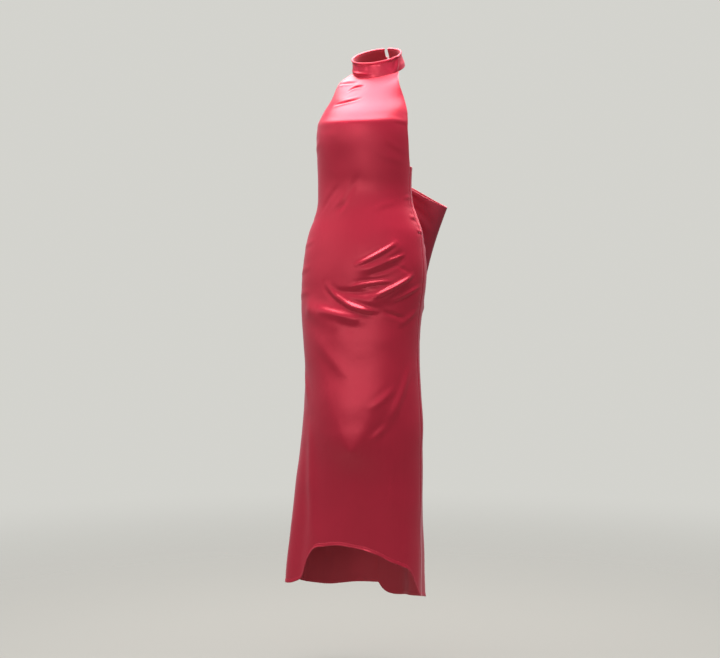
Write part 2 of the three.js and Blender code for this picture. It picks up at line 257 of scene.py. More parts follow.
@dataclass(frozen=True)
class DressForm:
    """The lines that the solids and the cloth share, in millimetres."""

    side_seam: float = 90.0
    back_seam: float = 180.0
    underarm: float = -262.0
    back_top: float = -296.0
    hip_high: float = -420.0
    hip_low: float = -690.0
    band_height: float = 36.0
    band_low_radius: float = 66.0
    band_high_radius: float = 60.5
    band_tilt: float = math.radians(22.6)
    band_gap: float = 10.0
    front_on_band: float = 72.0
    seam_gap: float = 0.3
    vent_top: float = -1160.0
    vent_reach: float = 34.0
    vent_right_out: float = 16.0
    vent_left_in: float = 7.0
    waist_rows: float = 6.0
    hip_rows: float = 15.0
    skirt_rows: float = 19.0

    @property
    def hips_end(self) -> float:
        """Number of the row below the hips."""
        return self.waist_rows + self.hip_rows

    @property
    def last_row(self) -> float:
        """Number of the row at the hem."""
        return self.hips_end + self.skirt_rows

    @property
    def band_half_gap(self) -> float:
        """Half of the opening between the band's ends, in degrees."""
        return math.degrees(self.band_gap / 2 / self.band_low_radius)

    def band(self, angle: Any, rise: Any) -> Array:
        """Points on the neck band.

        Args:
            angle: degrees round the neck.
            rise: 0 at the lower edge to 1 at the upper edge.

        Returns:
            The points in millimetres.
        """
        turn = np.radians(angle)
        radius = mix(self.band_low_radius, self.band_high_radius, rise)
        x, y = radius * np.sin(turn), -radius * np.cos(turn)
        z = (np.asarray(rise) - 0.5) * self.band_height
        c, s = math.cos(self.band_tilt), math.sin(self.band_tilt)
        return joined(x, y * c - z * s, y * s + z * c)

    def tables(self) -> tuple[SmoothTable, SmoothTable, SmoothTable]:
        """Makes the tables that the panels read.

        Returns:
            The front's rows, the back's depth and the hem's height.
        """
        below = -self.seam_gap / self.band_height
        middle = self.band(0.0, below)
        edge = self.band(self.front_on_band, below)
        top = (middle[2], middle[1], edge[0], edge[1], edge[2], self.front_on_band, 0.0)
        lower = [(z, y - front, w, y, z, self.side_seam, x) for z, w, front, _, x, y in SECTIONS]
        rows = SmoothTable("z y width edge_y edge_z arc x", [top, *HALTER, *lower])
        depth = SmoothTable("z back", [(row[0], row[3]) for row in SECTIONS])
        return rows, depth, SmoothTable("angle z", HEM)

    def row_height(self, row: Any, hem: Any) -> Any:
        """Height of a row counted down from the underarm.

        Args:
            row: the row's number, 0 at the underarm.
            hem: height of the hem below the place.

        Returns:
            The height in millimetres.
        """
        waist = mix(self.underarm, self.hip_high, row / self.waist_rows)
        hips = mix(self.hip_high, self.hip_low, (row - self.waist_rows) / self.hip_rows)
        skirt = mix(self.hip_low, hem, (row - self.hips_end) / self.skirt_rows)
        lower = np.where(row <= self.hips_end, hips, skirt)
        return np.where(row <= self.waist_rows, waist, lower)


FORM = DressForm()
FRONT_ROWS, BACK_DEPTH, HEM_LINE = FORM.tables()


def fold_offset(angle: Array, z: Array) -> Array:
    """How far the solids' soft folds push the cloth out.

    Args:
        angle: degrees round the body.
        z: height in millimetres.

    Returns:
        The push in millimetres.
    """
    out = np.zeros(np.broadcast(angle, z).shape)
    for at, spread, push, start in FLUTES:
        opened = smooth(start - z, 0.0, start - LOWEST_SECTION)
        out = out + push * opened * bell(angle - at, spread)
    along = np.radians(angle) * FOLD_RADIUS
    for from_angle, from_z, to_angle, to_z, spread, push in RIDGES:
        x0 = math.radians(from_angle) * FOLD_RADIUS
        dx, dz = math.radians(to_angle) * FOLD_RADIUS - x0, to_z - from_z
        share = np.clip(((along - x0) * dx + (z - from_z) * dz) / (dx * dx + dz * dz), 0, 1)
        away = np.hypot(along - x0 - share * dx, z - from_z - share * dz)
        out = out + push * bell(away, spread)
    return out


def front_points(across: Array, level: Array) -> tuple[Array, Array]:
    """Points of the front panel.

    Args:
        across: share of the way from the middle line to the left edge, or to the right if below 0.
        level: height of the middle line in millimetres.

    Returns:
        The points, and their angles round the body.
    """
    row = FRONT_ROWS.at(level)
    angle = across * row["arc"]
    turn, arc = np.radians(angle), np.radians(row["arc"])
    bend = (1 - np.cos(turn)) / (1 - np.cos(arc))
    x = row["x"] + row["width"] * np.sin(turn) / np.sin(arc)
    y = mix(row["y"], row["edge_y"], bend)
    z = mix(level, row["edge_z"], bend)
    out = fold_offset(angle, z)
    return joined(x + np.sin(turn) * out, y - np.cos(turn) * out, z), angle


def back_points(angle: Array, z: Array) -> Array:
    """Points of the back panels.

    Args:
        angle: signed degrees round the body, past the side seam.
        z: height in millimetres.

    Returns:
        The points in millimetres.
    """
    row = FRONT_ROWS.at(z)
    turn = np.radians(angle)
    out = fold_offset(angle, z)
    depth = BACK_DEPTH.at(z)["back"]
    x = row["x"] + (row["width"] + out) * np.sin(turn)
    return joined(x, row["edge_y"] - (depth + out) * np.cos(turn), z)


# Creases that the wearer's pose pulls into the satin


@dataclass(frozen=True)
class Crease:
    """A soft ridge along a bent line of angles and heights, with shallow valleys beside it."""

    start: tuple[float, float]
    middle: tuple[float, float]
    end: tuple[float, float]
    width: float
    height: float
    valley: float = 0.45
    stops: int = 14
    reach: float = 5.0

    def relief(self, along: Array, z: Array) -> Array:
        """Height of the crease at places of the unrolled cloth.

        Args:
            along: millimetres round the body.
            z: height in millimetres.

        Returns:
            The height in millimetres.
        """
        stops = np.linspace(0.0, 1.0, self.stops)[:, None]
        ends = [np.array([math.radians(a) * FOLD_RADIUS, h])
                for a, h in (self.start, self.middle, self.end)]
        control = 2 * ends[1] - (ends[0] + ends[2]) / 2
        line = (1 - stops) ** 2 * ends[0] + 2 * stops * (1 - stops) * control + stops**2 * ends[2]
        out = np.zeros(np.broadcast(along, z).shape)
        reach = self.width * self.reach
        near = (
            (along > line[:, 0].min() - reach) & (along < line[:, 0].max() + reach)
            & (z > line[:, 1].min() - reach) & (z < line[:, 1].max() + reach)
        )
        if not near.any():
            return out
        px, pz = np.broadcast_to(along, near.shape)[near], np.broadcast_to(z, near.shape)[near]
        best = np.full(px.shape, 1e9)
        side = np.zeros(px.shape)
        at = np.zeros(px.shape)
        for i, (a, b) in enumerate(zip(line[:-1], line[1:])):
            d = b - a
            share = ((px - a[0]) * d[0] + (pz - a[1]) * d[1]) / (d @ d)
            held = np.clip(share, 0, 1)
            away = np.hypot(px - a[0] - held * d[0], pz - a[1] - held * d[1])
            closer = away < best
            best = np.where(closer, away, best)
            cross = (px - a[0]) * d[1] - (pz - a[1]) * d[0]
            side = np.where(closer, np.sign(cross), side)
            at = np.where(closer, (i + held) / (len(line) - 1), at)
        below = best * side
        fade = np.sin(np.pi * np.clip(at, 0.02, 0.98)) ** 0.7
        ridge = bell(below, self.width)
        lower = bell(below - 1.9 * self.width, 1.15 * self.width)
        upper = 0.5 * bell(below + 2.1 * self.width, 1.3 * self.width)
        out[near] = self.height * fade * (ridge - self.valley * (lower + upper))
        return out


# Angle and height of each crease's start, middle and end, its width, its height and how deep the
# valleys beside it are
CREASES = (
    # The drag lines from the bow across the hips
    Crease((10, -500), (29, -475), (48, -446), 4.2, 3.9, 0.5),
    Crease((20, -513), (30, -501), (41, -491), 4.6, 1.6, 0.3),
    Crease((36, -493), (46, -485), (57, -475), 3.6, 3.9, 0.4),
    Crease((20, -525), (38, -511), (58, -487), 4.6, -2.4, 0.2),
    Crease((6, -553), (24, -544), (43, -539), 4.0, 3.9, 0.4),
    Crease((-9, -561), (10, -567), (30, -562), 8.0, -3.2, 0.1),
    Crease((29, -576), (47, -552), (68, -524), 4.5, 6.2, 0.45),
    Crease((47, -499), (56, -510), (64, -520), 4.2, -1.3, 0.2),
    Crease((45, -588), (62, -570), (81, -553), 4.6, 3.2, 0.4),
    Crease((-18, -548), (1, -589), (31, -612), 5.0, 2.7, 0.8),
    Crease((0, -593), (14, -606), (30, -612), 6.0, 4.6, 0.3),
    Crease((-28, -609), (-5, -620), (17, -637), 11.5, 7.2, 0.05),
    Crease((38, -612), (50, -621), (63, -630), 4.6, -2.6, 0.2),
    Crease((54, -645), (67, -632), (85, -604), 6.0, 1.8),
    # The waist
    Crease((-44, -369), (-29, -338), (-13, -308), 6.5, -1.3, 0.3),
    Crease((-28, -372), (-14, -346), (-2, -316), 6.0, 1.1, 0.2),
    Crease((-15, -369), (-9, -357), (-3, -343), 5.5, -2.2, 0.3),
    Crease((-6, -352), (2, -318), (12, -284), 7.0, -1.0, 0.3),
    Crease((26, -372), (40, -356), (58, -350), 6.0, 0.7),
    Crease((72, -340), (81, -337), (91, -338), 3.2, 1.2),
    Crease((76, -386), (83, -386), (91, -389), 3.0, 3.6, 0.3),
    Crease((82, -418), (89, -419), (97, -422), 3.0, 4.4, 0.3),
    Crease((-80, -388), (-66, -382), (-50, -372), 5.0, 0.7),
    Crease((-80, -462), (-62, -452), (-42, -440), 6.0, 0.8),
    Crease((-80, -530), (-62, -516), (-44, -506), 7.0, 0.9),
    Crease((-80, -588), (-62, -574), (-42, -568), 7.0, 0.9),
    # The collar
    Crease((-64, -56), (-42, -54), (-18, -53), 2.7, -2.9, 0.5),
    Crease((-24, -75), (-15, -66), (1, -65), 2.7, -3.2, 0.5),
    Crease((-34, -110), (-13, -103), (5, -96), 2.7, -3.1, 0.5),
    # The fullest line of the bust and the puckers at its left end
    Crease((-86, -150), (0, -157), (86, -146), 9.0, 2.2, 0.2),
    Crease((66, -141), (78, -139), (90, -135), 3.2, -2.4, 0.6),
    Crease((50, -151), (62, -154), (76, -158), 3.4, 1.4),
    # Under the bust, towards the armholes
    Crease((44, -196), (58, -214), (76, -224), 7.0, 0.9),
    Crease((-44, -196), (-58, -212), (-76, -222), 7.0, 1.0),
    Crease((30, -226), (50, -242), (78, -252), 7.0, 0.7),
    # The thighs and knees
    Crease((50, -796), (38, -822), (26, -846), 6.5, 1.9),
    Crease((72, -748), (57, -816), (41, -884), 8.0, 2.4),
    Crease((42, -884), (34, -904), (26, -923), 6.0, 1.9),
    Crease((-26, -684), (-9, -730), (6, -776), 12.0, 1.4),
    Crease((-41, -900), (-32, -1030), (-25, -1184), 12.0, 2.8),
    Crease((14, -1000), (12, -1070), (10, -1160), 20.0, 1.4, 0.2),
    Crease((44, -960), (48, -1060), (52, -1180), 18.0, 2.0, 0.3),
    Crease((-72, -760), (-58, -800), (-46, -850), 12.0, 1.4),
    # The seat and the back of the skirt
    Crease((-172, -404), (-150, -440), (-124, -470), 6.0, 2.6),
    Crease((172, -404), (150, -438), (122, -466), 6.0, 2.7),
    Crease((-168, -452), (-146, -498), (-112, -534), 8.0, 2.5),
    Crease((168, -456), (148, -500), (116, -540), 8.0, 2.4),
    Crease((-166, -606), (-140, -622), (-106, -600), 8.0, 2.6),
    Crease((166, -612), (142, -626), (108, -598), 8.0, 2.7),
    Crease((-160, -676), (-138, -688), (-112, -676), 9.0, 1.8),
    Crease((160, -668), (138, -684), (110, -676), 9.0, 1.9),
    Crease((-150, -752), (-136, -786), (-122, -828), 15.0, 1.5),
    Crease((152, -770), (136, -812), (120, -864), 11.0, 1.8),
    Crease((-134, -940), (-137, -1060), (-139, -1200), 18.0, -1.6, 0.2),
    Crease((130, -910), (132, -1030), (134, -1200), 14.0, 2.4),
    Crease((104, -470), (112, -456), (126, -440), 5.0, 1.8),
    Crease((-104, -474), (-114, -456), (-128, -444), 5.0, 1.8),
)


@dataclass(frozen=True)
class ThighFullness:
    """The tongue of fuller cloth over the thighs, which ends in a rounded tip at the knees."""

    tip_angle: float = 10.0
    tip: float = -948.0
    start: float = -620.0
    widening: float = 1.05
    widening_power: float = 0.8
    lift: float = 16.0
    growth: float = 3.0
    corner: float = 3.0
    fall: float = 42.0

    def relief(self, along: Array, z: Array) -> Array:
        """Lift of the cloth: it grows down the tongue and falls away beside and below it.

        Args:
            along: millimetres round the body.
            z: height in millimetres.

        Returns:
            The lift in millimetres.
        """
        aside = along - math.radians(self.tip_angle) * FOLD_RADIUS
        above = z - self.tip
        half = self.widening * np.maximum(above, 0.0) ** self.widening_power
        outside = np.where(above > 0, np.abs(aside) - half, np.hypot(aside, above))
        beyond = self.corner * np.logaddexp(0.0, outside / self.corner)
        grown = np.clip((self.start - z) / (self.start - self.tip), 0.0, 1.0) ** self.growth
        return self.lift * grown * np.exp(-beyond / self.fall)


@dataclass(frozen=True)
class SeamPucker:
    """Small uneven puckers beside a sewn seam, in millimetres and in radians a millimetre."""

    pitch: float = 19.0
    height: float = 0.3
    reach: float = 13.0
    drift: float = 1.6
    slow_drift: float = 0.021
    quick_drift: float = 0.057
    fading: float = 0.031

    def relief(self, z: Array, seam_distance: Array) -> Array:
        """Lift of the cloth beside the seam.

        Args:
            z: height in millimetres.
            seam_distance: millimetres to the seam.

        Returns:
            The lift in millimetres.
        """
        uneven = np.sin(self.slow_drift * z) + 0.7 * np.sin(self.quick_drift * z + 1.7)
        strength = 0.62 + 0.38 * np.sin(self.fading * z + 0.6)
        wave = np.sin(2 * np.pi * z / self.pitch + self.drift * uneven) * strength
        return self.height * wave * bell(seam_distance, self.reach)


THIGHS = ThighFullness()
PUCKER = SeamPucker()
# A distance at which a seam pulls nothing
NO_SEAM = 1e3

# Waves of the hanging cloth: round the body, down the body, start, height
UNEVEN = (
    (0.031, 0.013, 0.4, 0.34),
    (0.019, -0.037, 2.1, 0.38),
    (-0.047, 0.029, 4.4, 0.17),
    (0.011, 0.053, 1.2, 0.22),
    (0.067, 0.071, 5.3, 0.08),
    (-0.059, 0.096, 3.0, 0.06),
)


def drape(angle: Array, z: Array, seam_distance: Array) -> Array:
    """How far the creases, the slack and the puckers beside the seams lift the cloth.

    Args:
        angle: degrees round the body.
        z: height in millimetres.
        seam_distance: millimetres to the nearest seam, large where there is none.

    Returns:
        The lift in millimetres.
    """
    along = np.radians(angle) * FOLD_RADIUS
    lift = THIGHS.relief(along, z)
    for crease in CREASES:
        lift = lift + crease.relief(along, z)
    for round_body, down, start, height in UNEVEN:
        # Each wave bends slowly on its way down
        bent = 0.8 * np.sin(0.009 * z + 2.3 * start)
        lift = lift + height * np.sin(round_body * along + down * z + start + bent)
    return lift + PUCKER.relief(z, seam_distance)


# Meshes


@dataclass
class ClothShell:
    """A closed wall of cloth behind a grid of points, with round edges.

    The rows of the grid run down the cloth and the columns across it, so that rows crossed with
    columns point outwards.
    """

    name: str
    points: Array
    wall: Array
    metres: Array
    lip_steps: int = 3
    lip_power: float = 1.0

    def normals(self) -> Array:
        """Finds the directions out of the cloth.

        Returns:
            A vector of length 1 for each point of the grid.
        """
        down = np.gradient(self.points, axis=0)
        across = np.gradient(self.points, axis=1)
        return unit(np.cross(down, across))

    def border(self) -> tuple[Array, Array]:
        """Walks round the grid's edge.

        Returns:
            The rows and the columns of the border points in order.
        """
        rows, columns = self.points.shape[:2]
        i = [np.zeros(columns, int), np.arange(1, rows), np.full(columns - 1, rows - 1),
             np.arange(rows - 2, 0, -1)]
        j = [np.arange(columns), np.full(rows - 1, columns - 1),
             np.arange(columns - 2, -1, -1), np.zeros(rows - 2, int)]
        return np.concatenate(i), np.concatenate(j)

    def outwards_at_border(self) -> Array:
        """Finds the directions away from the cloth in its own surface.

        Returns:
            A vector for each point of the grid, of length 1 on the border and 0 within.
        """
        p = self.points
        away = np.zeros_like(p)
        away[0] += unit(p[0] - p[1])
        away[-1] += unit(p[-1] - p[-2])
        away[:, 0] += unit(p[:, 0] - p[:, 1])
        away[:, -1] += unit(p[:, -1] - p[:, -2])
        return unit(away)

    def lips(self, inner: Array) -> list[Array]:
        """Rounds the edge between the right side and the wrong side.

        Args:
            inner: the points of the wrong side.

        Returns:
            The points of each step round the edge, in the border's order.
        """
        at = self.border()
        middle = (self.points[at] + inner[at]) / 2
        half = (self.points[at] - inner[at]) / 2
        away = self.outwards_at_border()[at] * np.linalg.norm(half, axis=-1, keepdims=True)
        steps = []
        for step in range(1, self.lip_steps + 1):
            turn = math.pi * step / (self.lip_steps + 1)
            back = math.copysign(abs(math.cos(turn)) ** self.lip_power, math.cos(turn))
            steps.append(middle + half * back + away * math.sin(turn) ** self.lip_power)
        return steps

    def faces(self) -> tuple[Array, Array, Array]:
        """Numbers the corners of all faces.

        Returns:
            The faces of the right side, of the wrong side and round the edge.
        """
        rows, columns = self.points.shape[:2]
        grid = rows * columns
        at = np.arange(grid).reshape(rows, columns)
        a, b, c, d = at[:-1, :-1], at[1:, :-1], at[1:, 1:], at[:-1, 1:]
        right = np.stack([a, b, c, d], axis=-1).reshape(-1, 4)
        wrong = np.stack([a, d, c, b], axis=-1).reshape(-1, 4) + grid
        border = at[self.border()]
        count = len(border)
        steps = [2 * grid + k * count + np.arange(count) for k in range(self.lip_steps)]
        rings = [border, *steps, border + grid]
        edge = []
        for ring, following in zip(rings[:-1], rings[1:]):
            corners = [ring, np.roll(ring, -1), np.roll(following, -1), following]
            edge.append(np.stack(corners, axis=-1))
        return right, wrong, np.vstack(edge)

    def build(self, outside: bpy.types.Material, inside: bpy.types.Material) -> bpy.types.Object:
        """Makes the object, with its UV map in metres of cloth.

        Args:
            outside: the material of the right side and the edges.
            inside: the material of the wrong side.

        Returns:
            The new object.
        """
        inner = self.points - self.normals() * self.wall[..., None]
        vertices = np.vstack([self.points.reshape(-1, 3), inner.reshape(-1, 3), *self.lips(inner)])
        flat = self.metres.reshape(-1, 2)
        edge_flat = [self.metres[self.border()]] * self.lip_steps
        uvs = np.vstack([flat, flat + WRONG_SIDE_SHIFT, *edge_flat])
        faces = self.faces()
        slots = np.repeat(np.array([0, 1, 0], dtype=np.int32), [len(group) for group in faces])
        return mesh_object(self.name, vertices, np.vstack(faces), [outside, inside], uvs, slots)


def mesh_object(
    name: str,
    vertices: Array,
    faces: Array,
    materials: Sequence[bpy.types.Material],
    uvs: Optional[Array] = None,
    slots: Optional[Array] = None,
) -> bpy.types.Object:
    """Makes a smooth closed object from millimetres, with its faces pointing outwards.

    Args:
        name: the object's name.
        vertices: the points in millimetres.
        faces: four corners for each face.
        materials: the materials in the order of the slots.
        uvs: the place of each vertex on the flat cloth, in metres.
        slots: the material of each face.

    Returns:
        The new object, linked to the scene.
    """
    corner = [vertices[faces[:, k]] for k in range(4)]
    volume = np.einsum("ij,ij->", corner[0], np.cross(corner[1], corner[2]))
    volume += np.einsum("ij,ij->", corner[0], np.cross(corner[2], corner[3]))
    if volume < 0:
        faces = faces[:, ::-1]
    mesh = bpy.data.meshes.new(name)
    mesh.vertices.add(len(vertices))
    mesh.vertices.foreach_set("co", (vertices * METRES).astype(np.float32).ravel())
    mesh.loops.add(faces.size)
    mesh.loops.foreach_set("vertex_index", faces.astype(np.int32).ravel())
    mesh.polygons.add(len(faces))
    mesh.polygons.foreach_set("loop_start", np.arange(0, faces.size, 4, dtype=np.int32))
    mesh.polygons.foreach_set("loop_total", np.full(len(faces), 4, dtype=np.int32))
    if slots is not None:
        mesh.polygons.foreach_set("material_index", slots)
    mesh.polygons.foreach_set("use_smooth", np.ones(len(faces), dtype=bool))
    mesh.update(calc_edges=True)
    if uvs is not None:
        layer = mesh.uv_layers.new(name=UV_NAME)
        layer.data.foreach_set("uv", uvs[faces.ravel()].astype(np.float32).ravel())
    mesh.validate()
    for material in materials:
        mesh.materials.append(material)
    made = bpy.data.objects.new(name, mesh)
    bpy.context.scene.collection.objects.link(made)
    return made


def plain_piece(
    guide: bpy.types.Object, name: str, material: bpy.types.Material
) -> bpy.types.Object:
    """Turns what a guide shows into a smooth mesh of its own, and removes the guide.

    Args:
        guide: a curve, or an object with a node tree, that isn't linked yet.
        name: the new piece's name.
        material: the new piece's material.

    Returns:
        The new object, linked to the scene.
    """
    linked = bpy.context.scene.collection.objects
    linked.link(guide)
    graph = bpy.context.evaluated_depsgraph_get()
    graph.update()
    mesh = bpy.data.meshes.new_from_object(guide.evaluated_get(graph))
    bpy.data.objects.remove(guide)
    mesh.name = name
    mesh.materials.clear()
    mesh.materials.append(material)
    mesh.polygons.foreach_set("use_smooth", np.ones(len(mesh.polygons), dtype=bool))
    made = bpy.data.objects.new(name, mesh)
    linked.link(made)
    return made


def even_columns(length: Array, edge_steps: Sequence[float], count: int) -> Array:
    """Spaces columns closely beside both edges and evenly between.

    Args:
        length: the width of each row in millimetres.
        edge_steps: distances from an edge of the close columns.
        count: how many even steps lie between the close columns.

    Returns:
        The distance of each column from the first edge, for each row.
    """
    close = np.asarray(edge_steps)[None, :]
    last = close[:, -1:]
    inner = last + (length[:, None] - 2 * last) * np.linspace(0, 1, count + 1)[None, 1:-1]
    start = np.broadcast_to(close, (len(length), close.shape[1]))
    return np.hstack([start, inner, length[:, None] - start[:, ::-1]])


def spread_rows(stops: Sequence[tuple[float, int]]) -> Array:
    """Joins runs of even steps.

    Args:
        stops: where each run ends and how many steps it has, the first with none.

    Returns:
        The places of all rows.
    """
    rows = [np.array([stops[0][0]])]
    for (low, _), (high, count) in zip(stops[:-1], stops[1:]):
        rows.append(np.linspace(low, high, count + 1)[1:])
    return np.concatenate(rows)


# Node trees


class Number:
    """A number socket that Python's operators combine through Math nodes."""

    def __init__(self, maker: "NodeMaker", socket: bpy.types.NodeSocket) -> None:
        """Keeps the tree's maker and the socket."""
        self.maker = maker
        self.socket = socket

    def _with(self, operation: str, first: Any, second: Any) -> "Number":
        """Adds a Math node on two values and gives its result."""
        node = self.maker.node("ShaderNodeMath", {"operation": operation}, {0: first, 1: second})
        return Number(self.maker, node.outputs[0])

    def __add__(self, other: Any) -> "Number":
        """Adds."""
        return self._with("ADD", self, other)

    def __radd__(self, other: Any) -> "Number":
        """Adds to a plain number."""
        return self._with("ADD", other, self)

    def __sub__(self, other: Any) -> "Number":
        """Subtracts."""
        return self._with("SUBTRACT", self, other)

    def __rsub__(self, other: Any) -> "Number":
        """Subtracts from a plain number."""
        return self._with("SUBTRACT", other, self)

    def __mul__(self, other: Any) -> "Number":
        """Multiplies."""
        return self._with("MULTIPLY", self, other)

    def __rmul__(self, other: Any) -> "Number":
        """Multiplies a plain number."""
        return self._with("MULTIPLY", other, self)


Link = Union[Number, bpy.types.NodeSocket, float, tuple, str]


@dataclass
class NodeMaker:
    """Adds nodes to one tree."""

    tree: bpy.types.NodeTree

    def node(
        self, kind: str, settings: Optional[dict[str, Any]] = None,
        inputs: Optional[dict[Union[str, int], Link]] = None,
    ) -> bpy.types.Node:
        """Adds a node.

        Args:
            kind: the node's type.
            settings: properties that are set first, and "stops" for a ramp's colours.
            inputs: values or links by the socket's name or number.

        Returns:
            The new node.
        """
        made = self.tree.nodes.new(kind)
        for name, value in (settings or {}).items():
            if name == "stops":
                self._ramp(made, value)
            else:
                setattr(made, name, value)
        for name, value in (inputs or {}).items():
            self.put(made.inputs[name], value)
        return made

    def put(self, socket: bpy.types.NodeSocket, value: Link) -> None:
        """Links a socket or sets its value.

        Args:
            socket: the input.
            value: what it gets.
        """
        if isinstance(value, Number):
            self.tree.links.new(value.socket, socket)
        elif isinstance(value, bpy.types.NodeSocket):
            self.tree.links.new(value, socket)
        else:
            socket.default_value = value

    @staticmethod
    def _ramp(node: bpy.types.Node, stops: Sequence[tuple[float, tuple]]) -> None:
        """Sets the stops of a colour ramp.

        Args:
            node: the ramp.
            stops: place and colour of each stop.
        """
        elements = node.color_ramp.elements
        while len(elements) > 1:
            elements.remove(elements[-1])
        elements[0].position, elements[0].color = stops[0]
        for place, colour in stops[1:]:
            elements.new(place).color = colour

    def number(self, node: bpy.types.Node, output: Union[str, int] = 0) -> Number:
        """Wraps a node's output for maths."""
        return Number(self, node.outputs[output])


class Finish:
    """A material that is made once and then shared."""

    name: str = "finish"

    def material(self) -> bpy.types.Material:
        """Gives the material, which is made on first use.

        Returns:
            The shared material.
        """
        found = bpy.data.materials.get(self.name)
        if found:
            return found
        made = bpy.data.materials.new(self.name)
        made.use_nodes = True
        made.node_tree.nodes.clear()
        maker = NodeMaker(made.node_tree)
        output = maker.node("ShaderNodeOutputMaterial")
        maker.put(output.inputs["Surface"], self.shade(maker))
        return made

    def shade(self, maker: NodeMaker) -> bpy.types.NodeSocket:
        """Builds the shader and gives its output."""
        raise NotImplementedError


@dataclass(frozen=True)
class Satin(Finish):
    """Crimson satin: long floats of thread with a broad soft shine."""

    name: str = "crimson_satin"
    colour: tuple[float, float, float, float] = (0.50, 0.014, 0.046, 1)
    deep: tuple[float, float, float, float] = (0.40, 0.010, 0.036, 1)
    roughness: float = 0.42
    roughness_change: float = 0.08
    specular: float = 0.7
    specular_tint: tuple[float, float, float, float] = (1.0, 0.79, 0.74, 1)
    anisotropy: float = 0.75
    metallic: float = 0.35
    sheen: float = 0.13
    sheen_roughness: float = 0.42
    sheen_tint: tuple[float, float, float, float] = (0.66, 0.66, 0.76, 1)
    thread_scale: float = 3400.0
    thread_stretch: float = 0.035
    thread_bump: float = 0.10
    slub_scale: float = 160.0
    crumple_scale: float = 38.0
    crumple_bump: float = 0.18

    def shade(self, maker: NodeMaker) -> bpy.types.NodeSocket:
        """Builds the shader from thread lines, slubs and a slight crumple.

        Args:
            maker: the maker of the material's nodes.

        Returns:
            The shader's output.
        """
        uv = maker.node("ShaderNodeUVMap", {"uv_map": UV_NAME}).outputs[0]
        place = maker.node("ShaderNodeTexCoord").outputs["Object"]
        lay = maker.node("ShaderNodeMapping", inputs={
            "Vector": uv, "Scale": (1.0, self.thread_stretch, 1.0)}).outputs[0]
        thread = maker.number(maker.node("ShaderNodeTexNoise", {"noise_dimensions": "2D"}, {
            "Vector": lay, "Scale": self.thread_scale, "Detail": 1.0, "Roughness": 0.4}))
        slub = maker.number(maker.node("ShaderNodeTexNoise", {"noise_dimensions": "2D"}, {
            "Vector": lay, "Scale": self.slub_scale, "Detail": 3.0, "Roughness": 0.55}))
        broad = maker.number(maker.node("ShaderNodeTexNoise", {}, {
            "Vector": place, "Scale": 5.5, "Detail": 2.0, "Roughness": 0.5}))
        crumple = maker.number(maker.node("ShaderNodeTexNoise", {}, {
            "Vector": place, "Scale": self.crumple_scale, "Detail": 3.0, "Roughness": 0.5}))
        tone = broad * 0.6 + slub * 0.25 + thread * 0.15
        colour = maker.node("ShaderNodeMix", {"data_type": "RGBA"}, {
            "Factor": tone, 6: self.deep, 7: self.colour}).outputs[2]
        rough = (thread * 0.5 + slub * 0.5 - 0.5) * self.roughness_change + self.roughness
        creased = maker.node("ShaderNodeBump", inputs={
            "Strength": self.crumple_bump, "Distance": 0.002, "Height": crumple}).outputs[0]
        woven = maker.node("ShaderNodeBump", inputs={
            "Strength": self.thread_bump, "Distance": 0.0001, "Height": thread,
            "Normal": creased}).outputs[0]
        return maker.node("ShaderNodeBsdfPrincipled", inputs={
            "Base Color": colour, "Roughness": rough, "Normal": woven,
            "Specular IOR Level": self.specular, "Specular Tint": self.specular_tint,
            "Anisotropic": self.anisotropy, "Metallic": self.metallic, "Sheen Weight": self.sheen,
            "Sheen Roughness": self.sheen_roughness, "Sheen Tint": self.sheen_tint}).outputs[0]


@dataclass(frozen=True)
class Thread(Finish):
    """Matching sewing thread and cord, with a fine twist whose raised crests carry a painted
    highlight.
    """

    name: str = "crimson_thread"
    colour: tuple[float, float, float, float] = (0.40, 0.010, 0.035, 1)
    # The lighter colour of the twist's raised crests, a painted highlight
    light: tuple[float, float, float, float] = (0.62, 0.045, 0.085, 1)
    roughness: float = 0.5
    twist_scale: float = 900.0

    def shade(self, maker: NodeMaker) -> bpy.types.NodeSocket:
        """Builds the shader from slanting bands, lighter on their raised crests as a painted
        highlight.

        Args:
            maker: the maker of the material's nodes.

        Returns:
            The shader's output.
        """
        place = maker.node("ShaderNodeTexCoord").outputs["Object"]
        twist = maker.number(maker.node(
            "ShaderNodeTexWave", {"wave_type": "BANDS", "bands_direction": "DIAGONAL"},
            {"Vector": place, "Scale": self.twist_scale, "Distortion": 1.5, "Detail": 1.0}), 1)
        # Painted highlight: the colour is lighter where the twist's bump stands highest
        colour = maker.node("ShaderNodeMix", {"data_type": "RGBA"}, {
            "Factor": twist, 6: self.colour, 7: self.light}).outputs[2]
        bump = maker.node("ShaderNodeBump", inputs={
            "Strength": 0.4, "Distance": 0.0002, "Height": twist}).outputs[0]
        return maker.node("ShaderNodeBsdfPrincipled", inputs={
            "Base Color": colour, "Roughness": twist * 0.08 + self.roughness, "Normal": bump,
            "Specular IOR Level": 0.4}).outputs[0]


